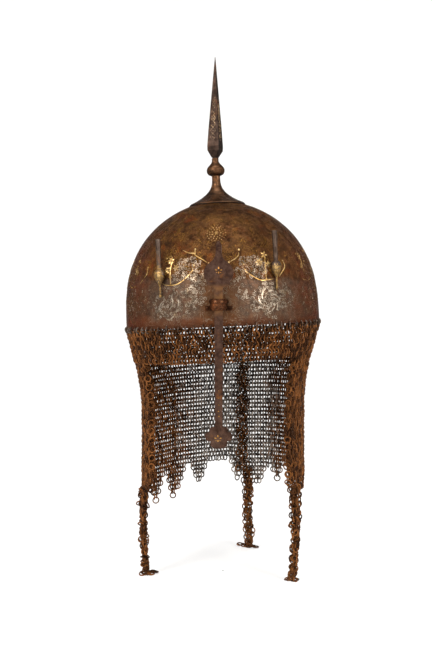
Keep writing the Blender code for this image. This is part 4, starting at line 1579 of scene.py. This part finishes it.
    def strand(self, point: LongPoint, material: Material, rng: random.Random) -> None:
        """Rows that lose rings towards the tip, down to a chain of single links.

        Args:
            point: the long point.
            material: its finish.
            rng: gives the rings their irregularity.
        """
        form = self.form
        place = self.strand_place(point)
        edge = form.edge(point.root)
        top = form.place(point.root, edge).z - form.gap
        fall = top - (form.wall / 2 - form.ground) + form.foot
        pitch = 360.0 / self.columns
        first_row = int((edge - 0.4 * self.radius) / self.row_pitch) + 1
        rings = RingField()
        row = first_row
        v = row * self.row_pitch - edge
        while v < fall - 3 * MM:
            share = min(max(v / fall, 0.0), 1.0)
            half = math.degrees(point.root_half + (point.tip_half - point.root_half) * share ** 0.6)
            if share < self.CHAIN_FROM:
                for k in range(-16, 17):
                    azimuth = k * pitch / 2
                    if (row + k) % 2 == 0 or abs(azimuth) > half + 0.5:
                        continue
                    self.ring(rings, place, azimuth, v, row, 0.1, rng, 1.8)
                for _ in range(4):
                    self.ring(rings, place, rng.uniform(-0.75, 0.75) * half, v, row, 0.05, rng, 7.0)
                v += self.row_pitch
            else:
                self.ring(rings, place, rng.uniform(-0.4, 0.4), v, row, 0.1, rng, 3.0)
                v += self.row_pitch * 1.18
            row += 1
        self.heap(point, rings, rng)
        rings.build(f"mail_point_{point.side}_rings", material, [f"mail_point_{point.side}"])

    def build(self, material: Material) -> None:
        """Make the mail's pieces and its three long points."""
        rng = random.Random(SEED + 1)
        fields = {name: RingField() for _, _, name in self.PIECES}
        self.grid(fields, rng)
        self.fold(fields, rng)
        self.hem(fields, rng)
        for name, rings in fields.items():
            rings.build(name, material, ["mail"])
        for point in self.POINTS:
            self.strand(point, material, rng)


# Studio

@dataclass
class Studio:
    """Camera, soft lights, and a pale seamless backdrop.

    Attributes:
        distance: from the helmet's axis to the camera.
        azimuth: of the camera, towards +X.
        height: of the camera above the rim.
        lens: in millimetres, on a 36 mm sensor's long side.
        aside: how far the camera aims to the left of the axis.
        aim: height that it aims at.
        floor: height of the floor.
    """

    distance: float = 1.0
    azimuth: float = math.radians(1.6)
    height: float = 21.0 * MM
    lens: float = 51.97
    aside: float = 7.4 * MM
    aim: float = 0.2 * MM
    floor: float = -264.0 * MM

    def camera(self) -> None:
        """The photograph's camera."""
        data = bpy.data.cameras.new("camera")
        data.lens = self.lens
        data.sensor_width = 36.0
        camera = bpy.data.objects.new("camera", data)
        bpy.context.scene.collection.objects.link(camera)
        bpy.context.scene.camera = camera
        back = Vector((math.sin(self.azimuth), -math.cos(self.azimuth), 0.0))
        right = Vector((math.cos(self.azimuth), math.sin(self.azimuth), 0.0))
        camera.location = back * self.distance + Vector((0.0, 0.0, self.height))
        target = right * -self.aside + Vector((0.0, 0.0, self.aim))
        camera.rotation_mode = "QUATERNION"
        camera.rotation_quaternion = (target - camera.location).to_track_quat("-Z", "Y")

    def light(self, name: str, place: Vector, size: tuple[float, float], power: float, colour: str) -> None:
        """A soft box that faces the helmet.

        Args:
            name: its name.
            place: where it stands.
            size: width and height in metres.
            power: in watts.
            colour: of its light.
        """
        data = bpy.data.lights.new(name, "AREA")
        data.shape = "RECTANGLE"
        data.size, data.size_y = size
        data.energy = power
        data.color = linear(colour)[:3]
        lamp = bpy.data.objects.new(name, data)
        lamp.location = place
        lamp.rotation_mode = "QUATERNION"
        lamp.rotation_quaternion = (Vector((0.0, 0.0, -0.02)) - place).to_track_quat("-Z", "Y")
        bpy.context.scene.collection.objects.link(lamp)

    def backdrop(self) -> None:
        """Floor and wall in one white cove all round, lit most behind the helmet."""
        # Paper gives an even, soft white without a shine
        material, tree, place = new_material("Matt white paper, seamless roll")
        shader = tree.nodes["Principled BSDF"]
        shader.inputs["Roughness"].default_value = 0.95
        across, deep, _ = node(tree, Kind.SPLIT, place).node.outputs
        pool = node(tree, Kind.MULTIPLY, node(tree, Kind.BAND, deep, -0.9, -0.35),
                    node(tree, Kind.BAND, node(tree, Kind.ABSOLUTE, across), 1.5, 0.9))
        fibres = node(tree, Kind.NOISE, place, 1 / 0.4, 2.0, 0.55)
        paper = node(tree, Kind.MIX, fibres, linear("#fbfbfb"), linear("#f4f4f4"))
        tree.links.new(node(tree, Kind.MIX, pool, paper, linear("#a9a9a9")), shader.inputs["Base Color"])
        shader.inputs["Emission Color"].default_value = linear("#ffffff")
        tree.links.new(node(tree, Kind.BAND, pool, 0.0, 1.0, 0.22, 0.52), shader.inputs["Emission Strength"])
        bend, flat, top, steps, bend_steps = 0.9, 1.7, 3.2, 64, 12
        profile = [(MM, 0.0), (flat / 2, 0.0), (flat, 0.0)]
        for step in range(1, bend_steps + 1):
            angle = math.pi / 2 * step / bend_steps
            profile.append((flat + bend * math.sin(angle), bend * (1 - math.cos(angle))))
        profile.append((flat + bend, top))
        maker = MeshMaker()
        turns = [2 * math.pi * step / steps for step in range(steps)]
        maker.lattice([[around(math.pi - turn, radius, self.floor + up) for turn in turns]
                       for radius, up in profile])
        maker.make("backdrop", material)

    def build(self) -> None:
        """Set up the camera, the lights and the backdrop."""
        self.camera()
        self.backdrop()
        self.light("key_left", Vector((-1.1, -1.5, 1.0)), (0.6, 0.9), 37.0, "#fffaf2")
        self.light("key_right", Vector((1.2, -1.3, 0.7)), (0.5, 0.9), 27.0, "#fffaf4")
        self.light("top", Vector((0.0, -0.3, 1.6)), (1.2, 0.9), 20.0, "#ffffff")
        world = bpy.data.worlds.new("studio")
        bpy.context.scene.world = world
        world.use_nodes = True
        world.node_tree.nodes["Background"].inputs["Color"].default_value = (1.0, 1.0, 1.0, 1.0)
        world.node_tree.nodes["Background"].inputs["Strength"].default_value = 0.20
        bpy.context.scene.view_settings.view_transform = "Standard"


def dress_nodes() -> None:
    """Give the CAD nodes that stay their finishes, and smooth the turned ones."""
    finishes = {
        # Dark and nearly matt, with a dull gleam on the edges
        ("spike",): Steel(
            "Forged steel blade, dark brown patina", "#1b1512", "#392c26", "#4d3526", "#54463f", 0.3,
            (0.38, 0.6)),
        # Warmer and smoother than the blade, with soft gleams round the bead
        ("spike_base",): Steel(
            "Turned steel, brown patina", "#261a12", "#583d2a", "#6d4528", "#765b45", 0.4, (0.28, 0.5)),
        # Grey tubes over bosses that still show gold in their hollows
        ("plume_holder_left", "plume_holder_right"): GiltHolder(
            "Drawn steel tube on a gilt boss", "#231a15", "#54463d", "#5a3c26", "#7d7068", 0.25, (0.3, 0.5)),
        # An even, satin brown that shows its flat faces
        ("nasal",): NasalSteel(
            "Cut steel plate, smooth brown patina", "#281b16", "#46332a", "#5e3b21", "#5f4b41", 0.2,
            (0.34, 0.55)),
        # Orange rust on the ridges, and nearly black painted shade beside them
        ("nasal_bracket",): BracketSteel(
            "Forged steel strap, rusted", "#24150d", "#5a3723", "#6b3c20", "#8e6a4c", 0.5, (0.36, 0.6)),
    }
    for names, finish in finishes.items():
        material = finish.build()
        for name in names:
            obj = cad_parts[name]
            obj.data.materials.clear()
            obj.data.materials.append(material)
            LOG.info("%s: %s", name, finish.name)
    for name in ("spike_base", "plume_holder_left", "plume_holder_right"):
        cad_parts[name].data.shade_smooth()
        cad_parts[name].data.set_sharp_from_angle(angle=math.radians(38.0))


def main() -> None:
    """Build every assembly in order."""
    logging.basicConfig(level=logging.INFO, format="%(name)s: %(message)s")
    form = BowlForm()
    # Warm brown with a fine glitter of old gold, and a grey lower band
    russet = BowlSteel("Russet steel, chiselled and damascened", "#24160d", "#50331d", "#5e2f15", "#6a4c30",
                       0.35, (0.36, 0.58))
    # Clear bright lines that catch the light
    gold = Inlay("Gold wire, hammered in", "#785a2e", "#c6a870", "#8a6636", "#eddaa9", 0.2, (0.25, 0.42),
                 metallic=0.95)
    # Paler and duller lines, tarnished brown in places
    silver = Inlay("Silver wire, hammered in", "#564c41", "#a69c8c", "#7b6442", "#dfd7ca", 0.45, (0.28, 0.45),
                   metallic=0.9, wear=0.5)
    gold_metal, silver_metal = gold.build(), silver.build()
    Bowl(form).build(russet.build())
    BowlOrnament(form).build(gold_metal, silver_metal)
    # Small warm glints on the nasal, and faint ones on the blade
    dull_gold = Inlay("Gold leaf, rubbed", "#6e4a1c", "#a9793a", "#7a4e22", "#c99a52", 0.2, (0.32, 0.5),
                      wear=0.5)
    worn_gold = Inlay("Gold wire, worn nearly away", "#6b563f", "#a58c6c", "#6b4a30", "#cdb695", 0.2,
                      (0.3, 0.5), through="#463730", wear=0.56)
    SpikeOrnament().build(worn_gold.build())
    NasalOrnament().build(dull_gold.build())
    HolderOrnament().build(gold_metal)
    # Rubbed knobs, brighter than the strap round them
    knob_steel = Steel("Forged steel rivet heads, rubbed", "#3a2417", "#7a5138", "#6b3c20", "#b58a6c", 0.3,
                       (0.26, 0.42))
    BracketKnobs().build(knob_steel.build())
    # A dull black line of painted shadow under the plate
    painted_shade = Steel("Painted shadow under the plate's edge", "#120d0a", "#1f1712", "#2a1a10", "#2b211b", 0.3, (0.7, 0.9),
                 metallic=0.0)
    PlateShadowLine(form).build(painted_shade.build())
    Mail(MailForm(form)).build(MailIron().build())
    dress_nodes()
    Studio().build()


if __name__ == "__main__":
    main()
